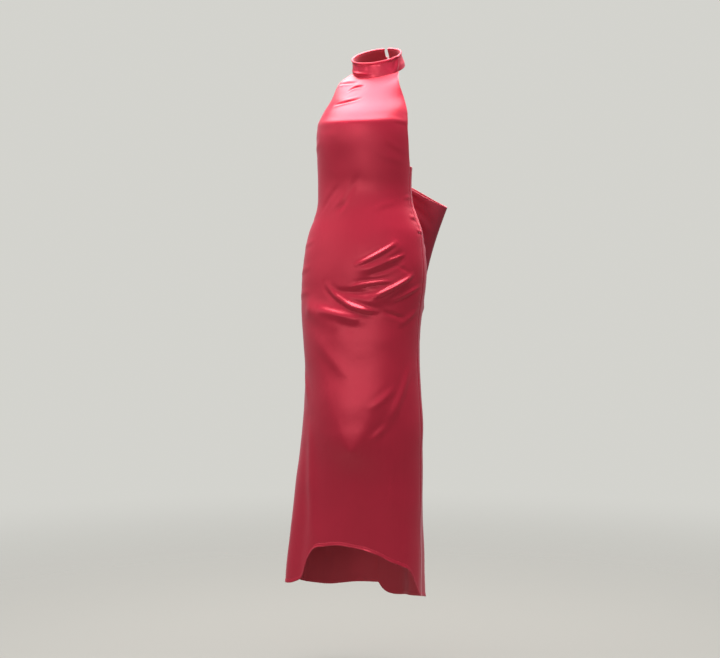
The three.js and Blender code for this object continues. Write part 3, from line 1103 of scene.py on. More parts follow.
@dataclass(frozen=True)
class PaleFloor(Finish):
    """A plain pale floor that fades into the backdrop."""

    name: str = "pale_floor"
    colour: tuple[float, float, float, float] = (0.165, 0.163, 0.153, 1)
    near: float = 0.5
    far: float = 3.2

    def shade(self, maker: NodeMaker) -> bpy.types.NodeSocket:
        """Builds the shader, clear beyond the far radius.

        Args:
            maker: the maker of the material's nodes.

        Returns:
            The shader's output.
        """
        place = maker.node("ShaderNodeTexCoord").outputs["Object"]
        flat = maker.node("ShaderNodeVectorMath", {"operation": "MULTIPLY"}, {
            0: place, 1: (1.0, 1.0, 0.0)}).outputs[0]
        radius = maker.node("ShaderNodeVectorMath", {"operation": "LENGTH"}, {0: flat})
        fade = maker.node("ShaderNodeMapRange", {"interpolation_type": "SMOOTHSTEP"}, {
            "Value": radius.outputs["Value"], "From Min": self.near, "From Max": self.far})
        plain = maker.node("ShaderNodeBsdfPrincipled", inputs={
            "Base Color": self.colour, "Roughness": 0.75}).outputs[0]
        clear = maker.node("ShaderNodeBsdfTransparent").outputs[0]
        return maker.node("ShaderNodeMixShader", inputs={
            0: fade.outputs[0], 1: plain, 2: clear}).outputs[0]


SATIN = Satin()
# The bow is the same satin, given more sheen and a darker, greyer colour that is painted shade
SATIN_BOW_PAINTED_SHADE = Satin(
    name="crimson_satin_bow", colour=(0.40, 0.024, 0.056, 1), deep=(0.32, 0.018, 0.045, 1),
    sheen=0.35,
)
SATIN_INSIDE = Satin(
    name="crimson_satin_inside", colour=(0.47, 0.038, 0.062, 1), deep=(0.38, 0.030, 0.048, 1),
    roughness=0.62, specular=0.35, sheen=0.2, anisotropy=0.3, metallic=0.1, thread_bump=0.2,
    crumple_bump=0.1,
)
THREAD = Thread()


# Stitches


@dataclass
class Stitches:
    """A row of machine stitches along a line, made by one node tree."""

    pitch: float = 2.6
    length: float = 2.1
    width: float = 0.42
    tree_name: str = "stitch_row"

    def tree(self) -> bpy.types.NodeTree:
        """Gives the node tree, which is made on first use.

        Returns:
            The shared tree.
        """
        found = bpy.data.node_groups.get(self.tree_name)
        if found:
            return found
        made = bpy.data.node_groups.new(self.tree_name, "GeometryNodeTree")
        face = made.interface
        face.new_socket("Geometry", in_out="INPUT", socket_type="NodeSocketGeometry")
        for label in ("Pitch", "Length", "Width"):
            face.new_socket(label, in_out="INPUT", socket_type="NodeSocketFloat")
        face.new_socket("Thread", in_out="INPUT", socket_type="NodeSocketMaterial")
        face.new_socket("Geometry", in_out="OUTPUT", socket_type="NodeSocketGeometry")
        maker = NodeMaker(made)
        given = maker.node("NodeGroupInput").outputs
        line = maker.node("GeometryNodeMeshToCurve", inputs={"Mesh": given["Geometry"]}).outputs[0]
        points = maker.node("GeometryNodeResampleCurve", {"mode": "LENGTH"}, {
            "Curve": line, "Length": given["Pitch"]}).outputs[0]
        size = maker.node("ShaderNodeCombineXYZ", inputs={
            0: given["Width"], 1: given["Width"], 2: given["Length"]}).outputs[0]
        bead = maker.node("GeometryNodeMeshUVSphere", inputs={
            "Segments": 6, "Rings": 4, "Radius": 0.5}).outputs[0]
        shaped = maker.node("GeometryNodeTransform", inputs={
            "Geometry": bead, "Scale": size}).outputs[0]
        tangent = maker.node("GeometryNodeInputTangent").outputs[0]
        turned = maker.node("FunctionNodeAlignRotationToVector", {"axis": "Z"}, {
            "Vector": tangent}).outputs[0]
        placed = maker.node("GeometryNodeInstanceOnPoints", inputs={
            "Points": points, "Instance": shaped, "Rotation": turned}).outputs[0]
        real = maker.node("GeometryNodeRealizeInstances", inputs={"Geometry": placed}).outputs[0]
        dyed = maker.node("GeometryNodeSetMaterial", inputs={
            "Geometry": real, "Material": given["Thread"]}).outputs[0]
        maker.node("NodeGroupOutput", inputs={"Geometry": dyed})
        return made

    def sew(self, name: str, lines: Sequence[Array]) -> bpy.types.Object:
        """Sews stitches along lines.

        Args:
            name: the new piece's name.
            lines: points in millimetres, a row of them for each line.

        Returns:
            The stitches as one plain mesh.
        """
        points = np.vstack(lines) * METRES
        edges, start = [], 0
        for line in lines:
            edges += [(start + k, start + k + 1) for k in range(len(line) - 1)]
            start += len(line)
        guide_mesh = bpy.data.meshes.new(name + "_guide")
        guide_mesh.from_pydata(points.tolist(), edges, [])
        guide = bpy.data.objects.new(name + "_guide", guide_mesh)
        tree = self.tree()
        modifier = guide.modifiers.new("stitches", "NODES")
        modifier.node_group = tree
        values = {"Pitch": self.pitch * METRES, "Length": self.length * METRES,
                  "Width": self.width * METRES, "Thread": THREAD.material()}
        for item in tree.interface.items_tree:
            if item.in_out == "INPUT" and item.name in values:
                modifier[item.identifier] = values[item.name]
        made = plain_piece(guide, name, THREAD.material())
        settle(made, "satin")
        return made


def settle(made: bpy.types.Object, slot: str, *nodes: str) -> None:
    """Puts a piece on the dress's body and hides the solids that it stands for.

    Args:
        made: the piece.
        slot: the material slot of the record; not used.
        nodes: the solids that it replaces.
    """
    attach(made, BODY)
    if nodes:
        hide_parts(*nodes)
    LOG.info("%s: %d faces", made.name, len(made.data.polygons))


# Panels


@dataclass
class PanelFinish:
    """How the cloth of a panel is turned and sewn at its edges, in millimetres."""

    wall: float = 0.9
    hem_depth: float = 8.0
    hem_wall: float = 2.0
    hem_lift: float = 0.55
    edge_depth: float = 5.5
    edge_wall: float = 1.4
    edge_lift: float = 0.22
    groove: float = 0.34
    seam_roll: float = 1.15
    seam_reach: float = 1.7
    seam_lap: float = 0.2
    tuck: float = 0.2
    tuck_reach: float = 1.0
    armhole_roll: float = 1.3
    armhole_reach: float = 2.0
    hem_curl: float = 2.1
    hem_curl_reach: float = 3.2
    calm_share: float = 0.35
    calm_reach: float = 10.0
    stitch_lift: float = 0.08

    @property
    def inset(self) -> float:
        """How far inside a sewn edge the grid ends, short of its round lip."""
        return self.wall / 2 - self.seam_lap

    def calm(self, top: Array, nearest: Array, reach: float) -> Array:
        """Share of the creases that is left beside a panel's edges.

        Args:
            top: distance to the upper edge.
            nearest: distance to the nearest other edge.
            reach: how far down from the upper edge the creases are held back.

        Returns:
            The share, 0 at the upper edge and 1 well inside the panel.
        """
        beside = mix(self.calm_share, 1.0, smooth(nearest, 0.0, self.calm_reach))
        return smooth(top, 0.0, reach) * beside

    def turned(self, distance: Array, depth: float, lift: float) -> Array:
        """Lift of a turned edge: raised to the stitch line, with a groove along it.

        Args:
            distance: distance to the edge.
            depth: distance of the stitch line from the edge.
            lift: how far the turned cloth is raised.

        Returns:
            The lift in millimetres.
        """
        raised = lift * (1 - smooth(distance, depth - 1.6, depth + 0.9))
        raised = raised * (1 + 0.8 * bell(distance - 0.3 * depth, 0.35 * depth))
        return raised - self.groove * bell(distance - depth, 0.8)

    def thick(self, distance: Array, depth: float, wall: float) -> Array:
        """Wall of a turned edge."""
        return mix(wall, self.wall, smooth(distance, depth - 0.6, depth + 0.8))

    def seam(self, distance: Array) -> Array:
        """How far the cloth rolls in beside a seam."""
        return -self.seam_roll * bell(distance, self.seam_reach)


# Distances of the close columns beside an edge, and the columns that lie between them
EDGE_STEPS = (0.0, 0.55, 1.2, 2.1, 3.4, 5.0, 6.6)
BETWEEN_EDGES = slice(len(EDGE_STEPS), -len(EDGE_STEPS))

# Where the front hem curls out most: angle, spread, share
HEM_CURLS = (
    (-32, 4, 0.6),
    (-20, 6, 1.0),
    (5, 16, 0.35),
    (26, 7, 1.1),
    (45, 5, 0.7),
    (60, 5, 0.7),
)


def fitted_columns(
    rough: Array, probe: Array, inset: float, count: int
) -> tuple[Array, Array, Array]:
    """Places a panel's columns by their distance from its edges.

    Args:
        rough: points of the panel at the probes, a row of them for each row of the grid.
        probe: the measure across the panel that each probe stands for.
        inset: how far inside the panel's edges the grid ends.
        count: how many even steps lie between the close columns.

    Returns:
        The columns' measures across the panel, and their distances to the first and last edge.
    """
    steps = np.linalg.norm(np.diff(rough, axis=1), axis=-1)
    run = np.hstack([np.zeros((len(rough), 1)), np.cumsum(steps, axis=1)])
    length = run[:, -1] - 2 * inset
    distance = even_columns(length, EDGE_STEPS, count)
    across = np.vstack([np.interp(d + inset, r, probe) for d, r in zip(distance, run)])
    return across, distance, length[:, None] - distance


@dataclass
class FrontPanel:
    """The front: halter, bodice and skirt in one length, from the neck band to the hem."""

    finish: PanelFinish
    columns: int = 128
    bodice_rows: float = 10.0
    probes: int = 61
    calm_top: float = 14.0
    side_seam_start: float = -1.5
    underarm_blend: float = 0.35
    top_rows: int = 2
    cut_width: float = 0.47
    cut_length: float = 1.29
    cut_area: float = 0.47

    def rows(self) -> Array:
        """Spreads the rows down the front, close together at the top, the hips and the hem.

        Returns:
            Row numbers, counted as the solids' rows are from the underarm.
        """
        top, hem = -self.bodice_rows, FORM.last_row
        return spread_rows([
            (top + 0.01, 0), (top + 0.3, 8), (-6.5, 46), (0.0, 34), (FORM.waist_rows, 36),
            (17.5, 86), (FORM.hips_end, 12), (hem - 0.44, 90), (hem, 16)])

    def levels(self, across: Array, row: Array) -> Array:
        """Heights of the middle line for places of the grid.

        Args:
            across: share of the way from the middle line to the left edge.
            row: row numbers from the underarm.

        Returns:
            The heights in millimetres.
        """
        top = float(FRONT_ROWS.keys[-1])
        hem = HEM_LINE.at(across * FORM.side_seam)["z"]
        above = mix(FORM.underarm, top, -row / self.bodice_rows)
        return np.where(row < 0, above, FORM.row_height(np.maximum(row, 0), hem))

    def grid(self) -> tuple[Array, Array, Array, Array, Array]:
        """Lays out the grid.

        Returns:
            The points without relief, their angles, the distances to the right and left edges,
            and the rows' numbers.
        """
        row = self.rows()[:, None]
        probe = np.linspace(-1, 1, self.probes)[None, :]
        rough, _ = front_points(probe + 0 * row, self.levels(probe + 0 * row, row + 0 * probe))
        across, from_right, from_left = fitted_columns(
            rough, probe[0], self.finish.inset, self.columns)
        points, angle = front_points(across, self.levels(across, row + 0 * across))
        return points, angle, from_right, from_left, row

    def make(self) -> bpy.types.Object:
        """Builds the panel with its creases, seams and turned edges.

        Returns:
            The panel.
        """
        points, angle, from_right, from_left, row = self.grid()
        z = points[..., 2]
        nearest = np.minimum(from_right, from_left)
        below = smooth(row, -self.underarm_blend, self.underarm_blend)
        hem = z - HEM_LINE.at(angle)["z"]
        top = np.linalg.norm(points - points[:1], axis=-1)
        finish = self.finish
        lift = drape(angle, z, np.where(row > self.side_seam_start, nearest, NO_SEAM))
        lift = lift * finish.calm(top, nearest, self.calm_top)
        lift = lift + below * finish.seam(nearest)
        lift = lift + (1 - below) * finish.turned(nearest, finish.edge_depth, finish.edge_lift)
        lift = lift + finish.turned(hem, finish.hem_depth, finish.hem_lift)
        lift = lift - (1 - below) * finish.armhole_roll * bell(nearest, finish.armhole_reach)
        curled = sum(share * bell(angle - at, spread) for at, spread, share in HEM_CURLS)
        lift = lift + finish.hem_curl * curled * (1 - smooth(hem, 0.0, finish.hem_curl_reach))
        wall = finish.thick(hem, finish.hem_depth, finish.hem_wall)
        edge = mix(finish.thick(nearest, finish.edge_depth, finish.edge_wall), finish.wall, below)
        wall = np.maximum(wall, edge)
        shell = ClothShell("front", points, wall, cloth_metres(points))
        shell.points = points + shell.normals() * lift[..., None]
        inwards = unit(FORM.band(angle, 0.0) * (1, 1, 0))
        shell.points -= finish.tuck * inwards * bell(top, finish.tuck_reach)[..., None]
        made = shell.build(SATIN.material(), SATIN_INSIDE.material())
        settle(made, "satin", "front_panel")
        self.sew(shell, hem, nearest, row)
        return made

    def sew(self, shell: ClothShell, hem: Array, nearest: Array, row: Array) -> None:
        """Sews the hem and the two armhole edges.

        Args:
            shell: the finished cloth.
            hem: height of each point above the hem.
            nearest: distance of each point to the nearest side edge.
            row: row numbers from the underarm.
        """
        finish = self.finish
        outside = shell.points + finish.stitch_lift * shell.normals()
        hem_line = at_value(outside, hem, finish.hem_depth, axis=0)[BETWEEN_EDGES]
        Stitches().sew("front_hem_stitches", [hem_line])
        bodice = int(np.searchsorted(row[:, 0], 0.0))
        lines = []
        half = outside.shape[1] // 2
        for part in (slice(0, half), slice(half, None)):
            place = (slice(self.top_rows, bodice), part)
            lines.append(at_value(outside[place], nearest[place], finish.edge_depth, axis=1))
        Stitches().sew("armhole_stitches", lines)


def cloth_metres(points: Array) -> Array:
    """Gives each point of a grid its place on the flat cloth, in metres.

    Args:
        points: the grid in millimetres.

    Returns:
        Distance across from the middle column, and down from the first row.
    """
    steps = np.linalg.norm(np.diff(points, axis=1), axis=-1)
    across = np.hstack([np.zeros((len(points), 1)), np.cumsum(steps, axis=1)])
    across = across - across[:, [across.shape[1] // 2]]
    middle = points[:, points.shape[1] // 2]
    fall = np.concatenate([[0.0], np.cumsum(np.linalg.norm(np.diff(middle, axis=0), axis=-1))])
    return joined(across, -fall[:, None] + 0 * across) * METRES


def at_value(points: Array, field: Array, value: float, axis: int) -> Array:
    """Finds the line on a grid where a field has a value, one point for each column or row.

    Args:
        points: the grid.
        field: a number for each point of the grid.
        value: the number to find.
        axis: 0 to search down each column, 1 to search along each row.

    Returns:
        The points of the line.
    """
    if axis == 0:
        points, field = points.swapaxes(0, 1), field.T
    found = []
    for line, numbers in zip(points, field):
        cross = np.nonzero(np.diff(np.sign(numbers - value)))[0]
        if len(cross) == 0:
            continue
        k = cross[-1]
        share = (value - numbers[k]) / (numbers[k + 1] - numbers[k])
        found.append(mix(line[k], line[k + 1], share))
    return np.array(found)


@dataclass
class BackPanel:
    """One half of the back skirt, from its side seam to the centre seam and the vent."""

    side: Side
    finish: PanelFinish
    columns: int = 58
    probes: int = 41
    calm_top: float = 12.0
    vent_blend: tuple[float, float] = (-4.0, 8.0)
    vent_open: float = 0.99
    top_rows: int = 60
    cut_width: float = 0.27
    cut_length: float = 1.08
    cut_area: float = 0.223

    @property
    def name(self) -> str:
        """The piece's name."""
        return "back_" + self.side.word

    def vent(self, points: Array, angle: Array) -> Array:
        """Swings the cloth beside the vent below its top.

        Args:
            points: the grid.
            angle: the signed angle of each point.

        Returns:
            The grid with its vent open.
        """
        left = self.side is Side.LEFT
        swing = -FORM.vent_left_in if left else FORM.vent_right_out
        near = smooth(np.abs(angle), FORM.back_seam - FORM.vent_reach, FORM.back_seam)
        low = smooth(FORM.vent_top - points[..., 2], 0.0, FORM.vent_top - LOWEST_SECTION)
        moved = points.copy()
        moved[..., 1] += swing * near * low
        return moved

    def place(self, around: Array, row: Array) -> tuple[Array, Array]:
        """Points at unsigned angles from the front and at row numbers.

        Args:
            around: degrees from the side seam's 90 to the centre seam's 180.
            row: row numbers, counted down from the top edge.

        Returns:
            The points and their signed angles.
        """
        sign = self.side.value
        side_hem = HEM_LINE.at(sign * FORM.side_seam)["z"]
        top = mix(FORM.underarm, FORM.back_top, smooth(around, FORM.side_seam, FORM.back_seam))
        height = FORM.row_height(row, side_hem)
        drop = (FORM.underarm - height) / (FORM.underarm - side_hem)
        z = mix(top, HEM_LINE.at(sign * around)["z"], drop)
        angle = sign * around
        return self.vent(back_points(angle, z), angle), angle

    def make(self) -> bpy.types.Object:
        """Builds the panel with its creases, seams, vent edge and turned edges.

        Returns:
            The panel.
        """
        hem = FORM.last_row
        row = spread_rows([
            (0.0, 0), (0.3, 8), (FORM.waist_rows, 40), (FORM.hips_end, 72), (hem - 0.4, 142),
            (hem, 11)])[:, None]
        # The columns of the right half start at the centre seam, so that its faces look outwards
        order = 1 if self.side is Side.LEFT else -1
        ends = (FORM.side_seam, FORM.back_seam)[::order]
        probe = np.linspace(*ends, self.probes)[None, :]
        rough, _ = self.place(probe + 0 * row, row + 0 * probe)
        around, *distances = fitted_columns(rough, probe[0], self.finish.inset, self.columns)
        points, angle = self.place(around, row + 0 * around)
        return self.dress(points, angle, *distances[::order])

    def dress(
        self, points: Array, angle: Array, from_side: Array, from_centre: Array
    ) -> bpy.types.Object:
        """Gives the laid out grid its relief and builds the piece.

        Args:
            points: the grid on the solids' form.
            angle: the signed angle of each point.
            from_side: distance of each point to the side seam.
            from_centre: distance of each point to the centre seam.

        Returns:
            The panel.
        """
        finish = self.finish
        z = points[..., 2]
        hem = z - HEM_LINE.at(angle)["z"]
        top = np.linalg.norm(points - points[:1], axis=-1)
        opened = smooth(FORM.vent_top - z, *self.vent_blend)
        nearest = np.minimum(from_side, from_centre)
        lift = drape(angle, z, nearest)
        lift = lift * finish.calm(top, nearest, self.calm_top)
        lift = lift + finish.seam(from_side) + (1 - opened) * finish.seam(from_centre)
        lift = lift + opened * finish.turned(from_centre, finish.edge_depth, finish.edge_lift)
        lift = lift + finish.turned(hem, finish.hem_depth, finish.hem_lift)
        lift = lift + finish.turned(top, finish.edge_depth, finish.edge_lift)
        wall = np.maximum(finish.thick(hem, finish.hem_depth, finish.hem_wall),
                          finish.thick(top, finish.edge_depth, finish.edge_wall))
        vent_wall = finish.thick(from_centre, finish.edge_depth, finish.edge_wall)
        wall = np.maximum(wall, mix(finish.wall, vent_wall, opened))
        shell = ClothShell(self.name, points, wall, cloth_metres(points))
        shell.points = points + shell.normals() * lift[..., None]
        made = shell.build(SATIN.material(), SATIN_INSIDE.material())
        settle(made, "satin", "back_panel_" + self.side.word)
        outside = shell.points + finish.stitch_lift * shell.normals()
        upper = (slice(self.top_rows), BETWEEN_EDGES)
        lines = [at_value(outside, hem, finish.hem_depth, axis=0)[BETWEEN_EDGES],
                 at_value(outside[upper], top[upper], finish.edge_depth, axis=0)]
        vent_rows = np.nonzero(opened[:, 0] > self.vent_open)[0]
        low = slice(vent_rows[0], None)
        lines.append(at_value(outside[low], from_centre[low], finish.edge_depth, axis=1))
        Stitches().sew(self.name + "_stitches", lines)
        return made


# Neck band, bow and closure

# Fine waves round the neck band: times round, slant, start, height
BAND_WAVES = (
    (7, 1.9, 0.6, 0.28),
    (13, -3.1, 2.2, 0.16),
    (29, 4.0, 0.0, 0.05),
)


@dataclass
class NeckBand:
    """The stand-up neck band: folded, interfaced satin, open at the nape."""

    wall: float = 3.0
    columns: int = 400
    rows: int = 34
    puff: float = 1.3
    overlap: float = 1.0
    wall_growth: float = 0.6
    roll: float = 2.5
    roll_rise: float = 0.93
    fold: float = 3.2
    fold_rise: float = 0.27
    fold_angle: float = -26.0
    fold_spread: float = 26.0
    narrow: float = 0.08
    pull: float = 4.6
    pull_angle: float = 63.0
    pull_slant: float = 20.0
    pull_spread: float = 4.2
    cut: tuple[float, float] = (0.40, 0.036)

    def relief(self, angle: Array, rise: Array) -> Array:
        """Lift of the band's cloth: fine waves, the rolled top, the full lower part and a pull.

        Args:
            angle: degrees round the neck.
            rise: 0 at the lower edge to 1 at the upper edge.

        Returns:
            The lift in millimetres.
        """
        turn = np.radians(angle)
        shape = np.sin(np.pi * rise)
        wave = sum(height * np.sin(turn * times + slant * rise + start)
                   for times, slant, start, height in BAND_WAVES)
        rolled_top = self.roll * bell(rise - self.roll_rise, self.narrow)
        bulge = mix(0.22, 0.30, 0.5 + 0.5 * np.sin(turn * 1.6 + 0.4))
        full_low = self.puff * (0.5 + 0.4 * bell(angle + 28, 30)) * bell(rise - bulge, 0.15)
        folded = self.fold * bell(angle - self.fold_angle, self.fold_spread)
        full_low = full_low + folded * bell(rise - self.fold_rise, self.narrow)
        swung = angle - self.pull_angle - self.pull_slant * rise
        # The pull has a slight hollow before it
        pulled = self.pull * bell(swung, self.pull_spread) - 0.6 * bell(swung + 12, 5)
        return full_low + rolled_top + pulled * shape**0.4 + wave * shape**0.5

    def make(self) -> bpy.types.Object:
        """Builds the band with a soft roll, fine wrinkles and its turned top.

        Returns:
            The band.
        """
        inset = math.degrees(self.wall / 2 / FORM.band_low_radius)
        limit = FORM.back_seam - FORM.band_half_gap - inset
        angle = np.linspace(-limit, limit, self.columns + 1)[None, :]
        edge = self.wall / 2 / FORM.band_height
        low = edge - self.overlap / FORM.band_height
        rise = mix(1 - edge, low, np.linspace(0, 1, self.rows + 1))[:, None]
        points = FORM.band(angle + 0 * rise, rise + 0 * angle)
        lift = self.relief(angle, rise)
        shell = ClothShell("neck_band_cloth", points, self.wall + lift * self.wall_growth,
                           cloth_metres(points), lip_steps=7, lip_power=0.6)
        shell.points = points + shell.normals() * lift[..., None]
        made = shell.build(SATIN.material(), SATIN_INSIDE.material())
        settle(made, "satin", "neck_band")
        return made


# Pleats of a loop at the knot: how many across, start, share of the side's own start, height,
# and how far along the loop they fade
GATHERS = (
    (3.0, 0.0, 0.0, 2.6, 0.34),
    (5.6, 0.8, 1.0, 3.1, 0.30),
    (9.1, 0.0, 2.1, 1.3, 0.16),
)

# Long folds of a loop: place across, slant, spread, middle along the loop, its spread, height
SWELLS = (
    (0.30, 0.06, 0.075, 0.55, 0.38, 3.4),
    (0.56, -0.05, 0.06, 0.45, 0.30, 2.8),
    (0.78, 0.04, 0.07, 0.60, 0.33, 2.6),
)

# Pleats across the knot: half waves, share of their drift round the knot, start, height
KNOT_PLEATS = (
    (3.0, 1.0, 0.0, 1.15),
    (7.3, 1.4, 1.0, 0.45),
)


@dataclass
class Bow:
    """The large soft bow at the back: two drooping loops and the knot between them."""

    x: float = -12.0
    z: float = -306.0
    knot_width: float = 42.0
    knot_height: float = 56.0
    knot_depth: float = 34.0
    knot_end: float = 0.78
    knot_wall: float = 1.3
    fold_top: tuple[float, float, float] = (147.0, 100.0, -358.0)
    fold_low: tuple[float, float, float] = (86.0, 92.0, -566.0)
    fold_hollow: float = 6.0
    pinch_half: float = 21.0
    pinch_gap: float = 5.0
    puff: float = 34.0
    cloth: float = 1.0
    solid_cloth: float = 1.6
    tucked: float = 9.0
    tuck_rows: int = 6
    squeeze: float = 0.22
    edge_length: float = 210.0
    edge_wall: float = 0.5
    edge_depth: tuple[float, float] = (3.5, 4.6)
    columns: int = 128
    rows: int = 110
    knot_rows: int = 150
    knot_columns: int = 65
    knot_reach: float = 0.97
    knot_start: float = -88.5
    knot_turn: float = 357.0
    long_edge: float = 0.004
    loop_cut: tuple[float, float] = (0.22, 0.41)
    loop_area: float = 0.060
    knot_cut: tuple[float, float] = (0.16, 0.05)

    def centre(self) -> Array:
        """The middle of the knot, which is sewn to the back panels."""
        seat = back_points(np.array(FORM.back_seam), np.array(self.z - self.knot_height / 4))
        return np.array([self.x, seat[1] + FORM.seam_gap + self.knot_depth / 2, self.z])

    def loop_points(self, side: Side, u: Array, v: Array, tuck: Array) -> Array:
        """Points of a loop.

        Args:
            side: which loop.
            u: share from the loop's top edge to its lower edge.
            v: share of the way out along the front layer and back along the rear one.
            tuck: 0 outside the knot to 1 at the ends inside it.

        Returns:
            The points in millimetres.
        """
        centre = self.centre()
        top = np.array(self.fold_top) - (self.x, 0.0, 0.0)
        low = np.array(self.fold_low) - (self.x, 0.0, 0.0)
        in_x = self.knot_width / 2 + FORM.seam_gap + self.solid_cloth
        out = np.array([top[0], top[1] - centre[1], top[2] - centre[2]])
        normal = unit(np.cross(top - low, out))
        turn = np.pi * v
        reach = np.sin(turn)
        squeeze = 1 - self.squeeze * tuck
        pinch_z = self.z + mix(1.0, -1.0, u) * self.pinch_half * squeeze
        pinch = joined(in_x - self.tucked * tuck, centre[1], pinch_z)
        fold = mix(top, low, u[..., None])
        fold[..., 0] -= self.fold_hollow * np.sin(np.pi * u)
        point = mix(pinch, fold, reach[..., None])
        opened = np.cos(turn) * (self.pinch_gap + self.puff * reach) * squeeze
        away = opened + self.gathers(side, u, reach) * np.abs(np.cos(turn)) * squeeze
        away = away + self.swells(side, u, reach) * np.cos(turn)
        direction = mix(np.array([0.0, 1.0, 0.0]), normal, reach[..., None])
        point = point + direction * away[..., None]
        point[..., 2] += self.edge_dip(side, u, reach)
        return joined(self.x + side.value * point[..., 0], point[..., 1], point[..., 2])

    @staticmethod
    def gathers(side: Side, u: Array, reach: Array) -> Array:
        """Uneven pleats that start at the knot and fade along the loop.

        Args:
            side: which loop.
            u: share from the loop's top edge to its lower edge.
            reach: share of the way from the knot to the fold.

        Returns:
            The lift in millimetres.
        """
        phase = 0.0 if side is Side.LEFT else 1.3
        warped = u + 0.05 * np.sin(2 * np.pi * u + phase)
        return sum(
            height * np.cos(2 * np.pi * count * warped + start + share * phase)
            * np.exp(-reach / fade) for count, start, share, height, fade in GATHERS)

    @staticmethod
    def swells(side: Side, u: Array, reach: Array) -> Array:
        """Long soft folds that run out from the knot towards the fold.

        Args:
            side: which loop.
            u: share from the loop's top edge to its lower edge.
            reach: share of the way from the knot to the fold.

        Returns:
            The lift in millimetres.
        """
        phase = 0.4 if side is Side.LEFT else 2.0
        folds = sum(
            height * bell(u - across - slant * reach, spread) * bell(reach - along, length)
            for across, slant, spread, along, length, height in SWELLS)
        ripple = 0.6 * np.sin(9 * u + 5 * reach + phase) * smooth(reach, 0.2, 0.8)
        return folds + ripple - 1.2

    @staticmethod
    def edge_dip(side: Side, u: Array, reach: Array) -> Array:
        """A slight rise and fall of the loop's long edges.

        Args:
            side: which loop.
            u: share from the loop's top edge to its lower edge.
            reach: share of the way from the knot to the fold.

        Returns:
            The rise in millimetres.
        """
        phase = 0.0 if side is Side.LEFT else 0.9
        return 1.6 * np.sin(6.0 * reach + phase + 2.0 * u) * smooth(reach, 0.1, 0.5)

    def loop(self, side: Side) -> bpy.types.Object:
        """Builds one loop.

        Args:
            side: which loop.

        Returns:
            The loop.
        """
        deep = np.linspace(1.0, 0.0, self.tuck_rows + 1)[:-1]
        run = np.linspace(0.0, 1.0, self.rows + 1)
        v = np.concatenate([np.zeros(len(deep)), run, np.ones(len(deep))])[:, None]
        tuck = np.concatenate([deep, np.zeros(len(run)), deep[::-1]])[:, None]
        u = np.linspace(self.long_edge, 1 - self.long_edge, self.columns + 1)[None, :]
        if side is Side.RIGHT:
            u = u[:, ::-1]
        points = self.loop_points(side, u + 0 * v, v + 0 * u, tuck + 0 * u)
        edge = np.minimum(u, 1 - u) * self.edge_length * np.maximum(np.sin(np.pi * v), 0.2)
        wall = self.cloth + self.edge_wall * (1 - smooth(edge, *self.edge_depth))
        shell = ClothShell("bow_" + side.word, points, wall, cloth_metres(points))
        # The loop's outside takes the satin whose darker, greyer colour is painted shade
        made = shell.build(SATIN_BOW_PAINTED_SHADE.material(), SATIN_INSIDE.material())
        settle(made, "satin", "bow_loop_" + side.word)
        return made

    def knot(self) -> bpy.types.Object:
        """Builds the knot: a pleated strip wrapped round the middle and sewn behind.

        Returns:
            The knot.
        """
        aside = np.linspace(-self.knot_reach, self.knot_reach, self.knot_columns)[None, :]
        # The turn starts and ends on the side that is sewn to the panels
        end = self.knot_start + self.knot_turn
        turn = np.radians(np.linspace(self.knot_start, end, self.knot_rows))[:, None]
        belly = mix(self.knot_end, 1.0, np.cos(aside * np.pi / 2))
        drift = 0.16 * np.sin(turn + 0.5) + 0.05 * np.sin(3 * turn)
        pleats = sum(height * np.cos(np.pi * count * (aside + share * drift) + start)
                     for count, share, start, height in KNOT_PLEATS)
        pleats = pleats * (0.75 + 0.25 * np.cos(2 * turn))
        corner = np.maximum(np.abs(np.cos(turn)), np.abs(np.sin(turn))) ** 0.5
        depth = (self.knot_depth / 2 - self.solid_cloth + pleats) * belly * corner
        height = (self.knot_height / 2 - self.solid_cloth + pleats) * belly * corner
        points = self.centre() + joined(
            self.knot_width / 2 * aside, depth * np.sin(turn), height * np.cos(turn))
        wall = np.full(points.shape[:2], self.knot_wall)
        shell = ClothShell("bow_middle", points, wall, cloth_metres(points))
        # The knot takes the satin whose darker, greyer colour is painted shade, on both sides
        made = shell.build(SATIN_BOW_PAINTED_SHADE.material(), SATIN_BOW_PAINTED_SHADE.material())
        settle(made, "satin", "bow_knot")
        return made

    def make(self) -> list[bpy.types.Object]:
        """Builds the knot and both loops."""
        return [self.knot(), self.loop(Side.RIGHT), self.loop(Side.LEFT)]


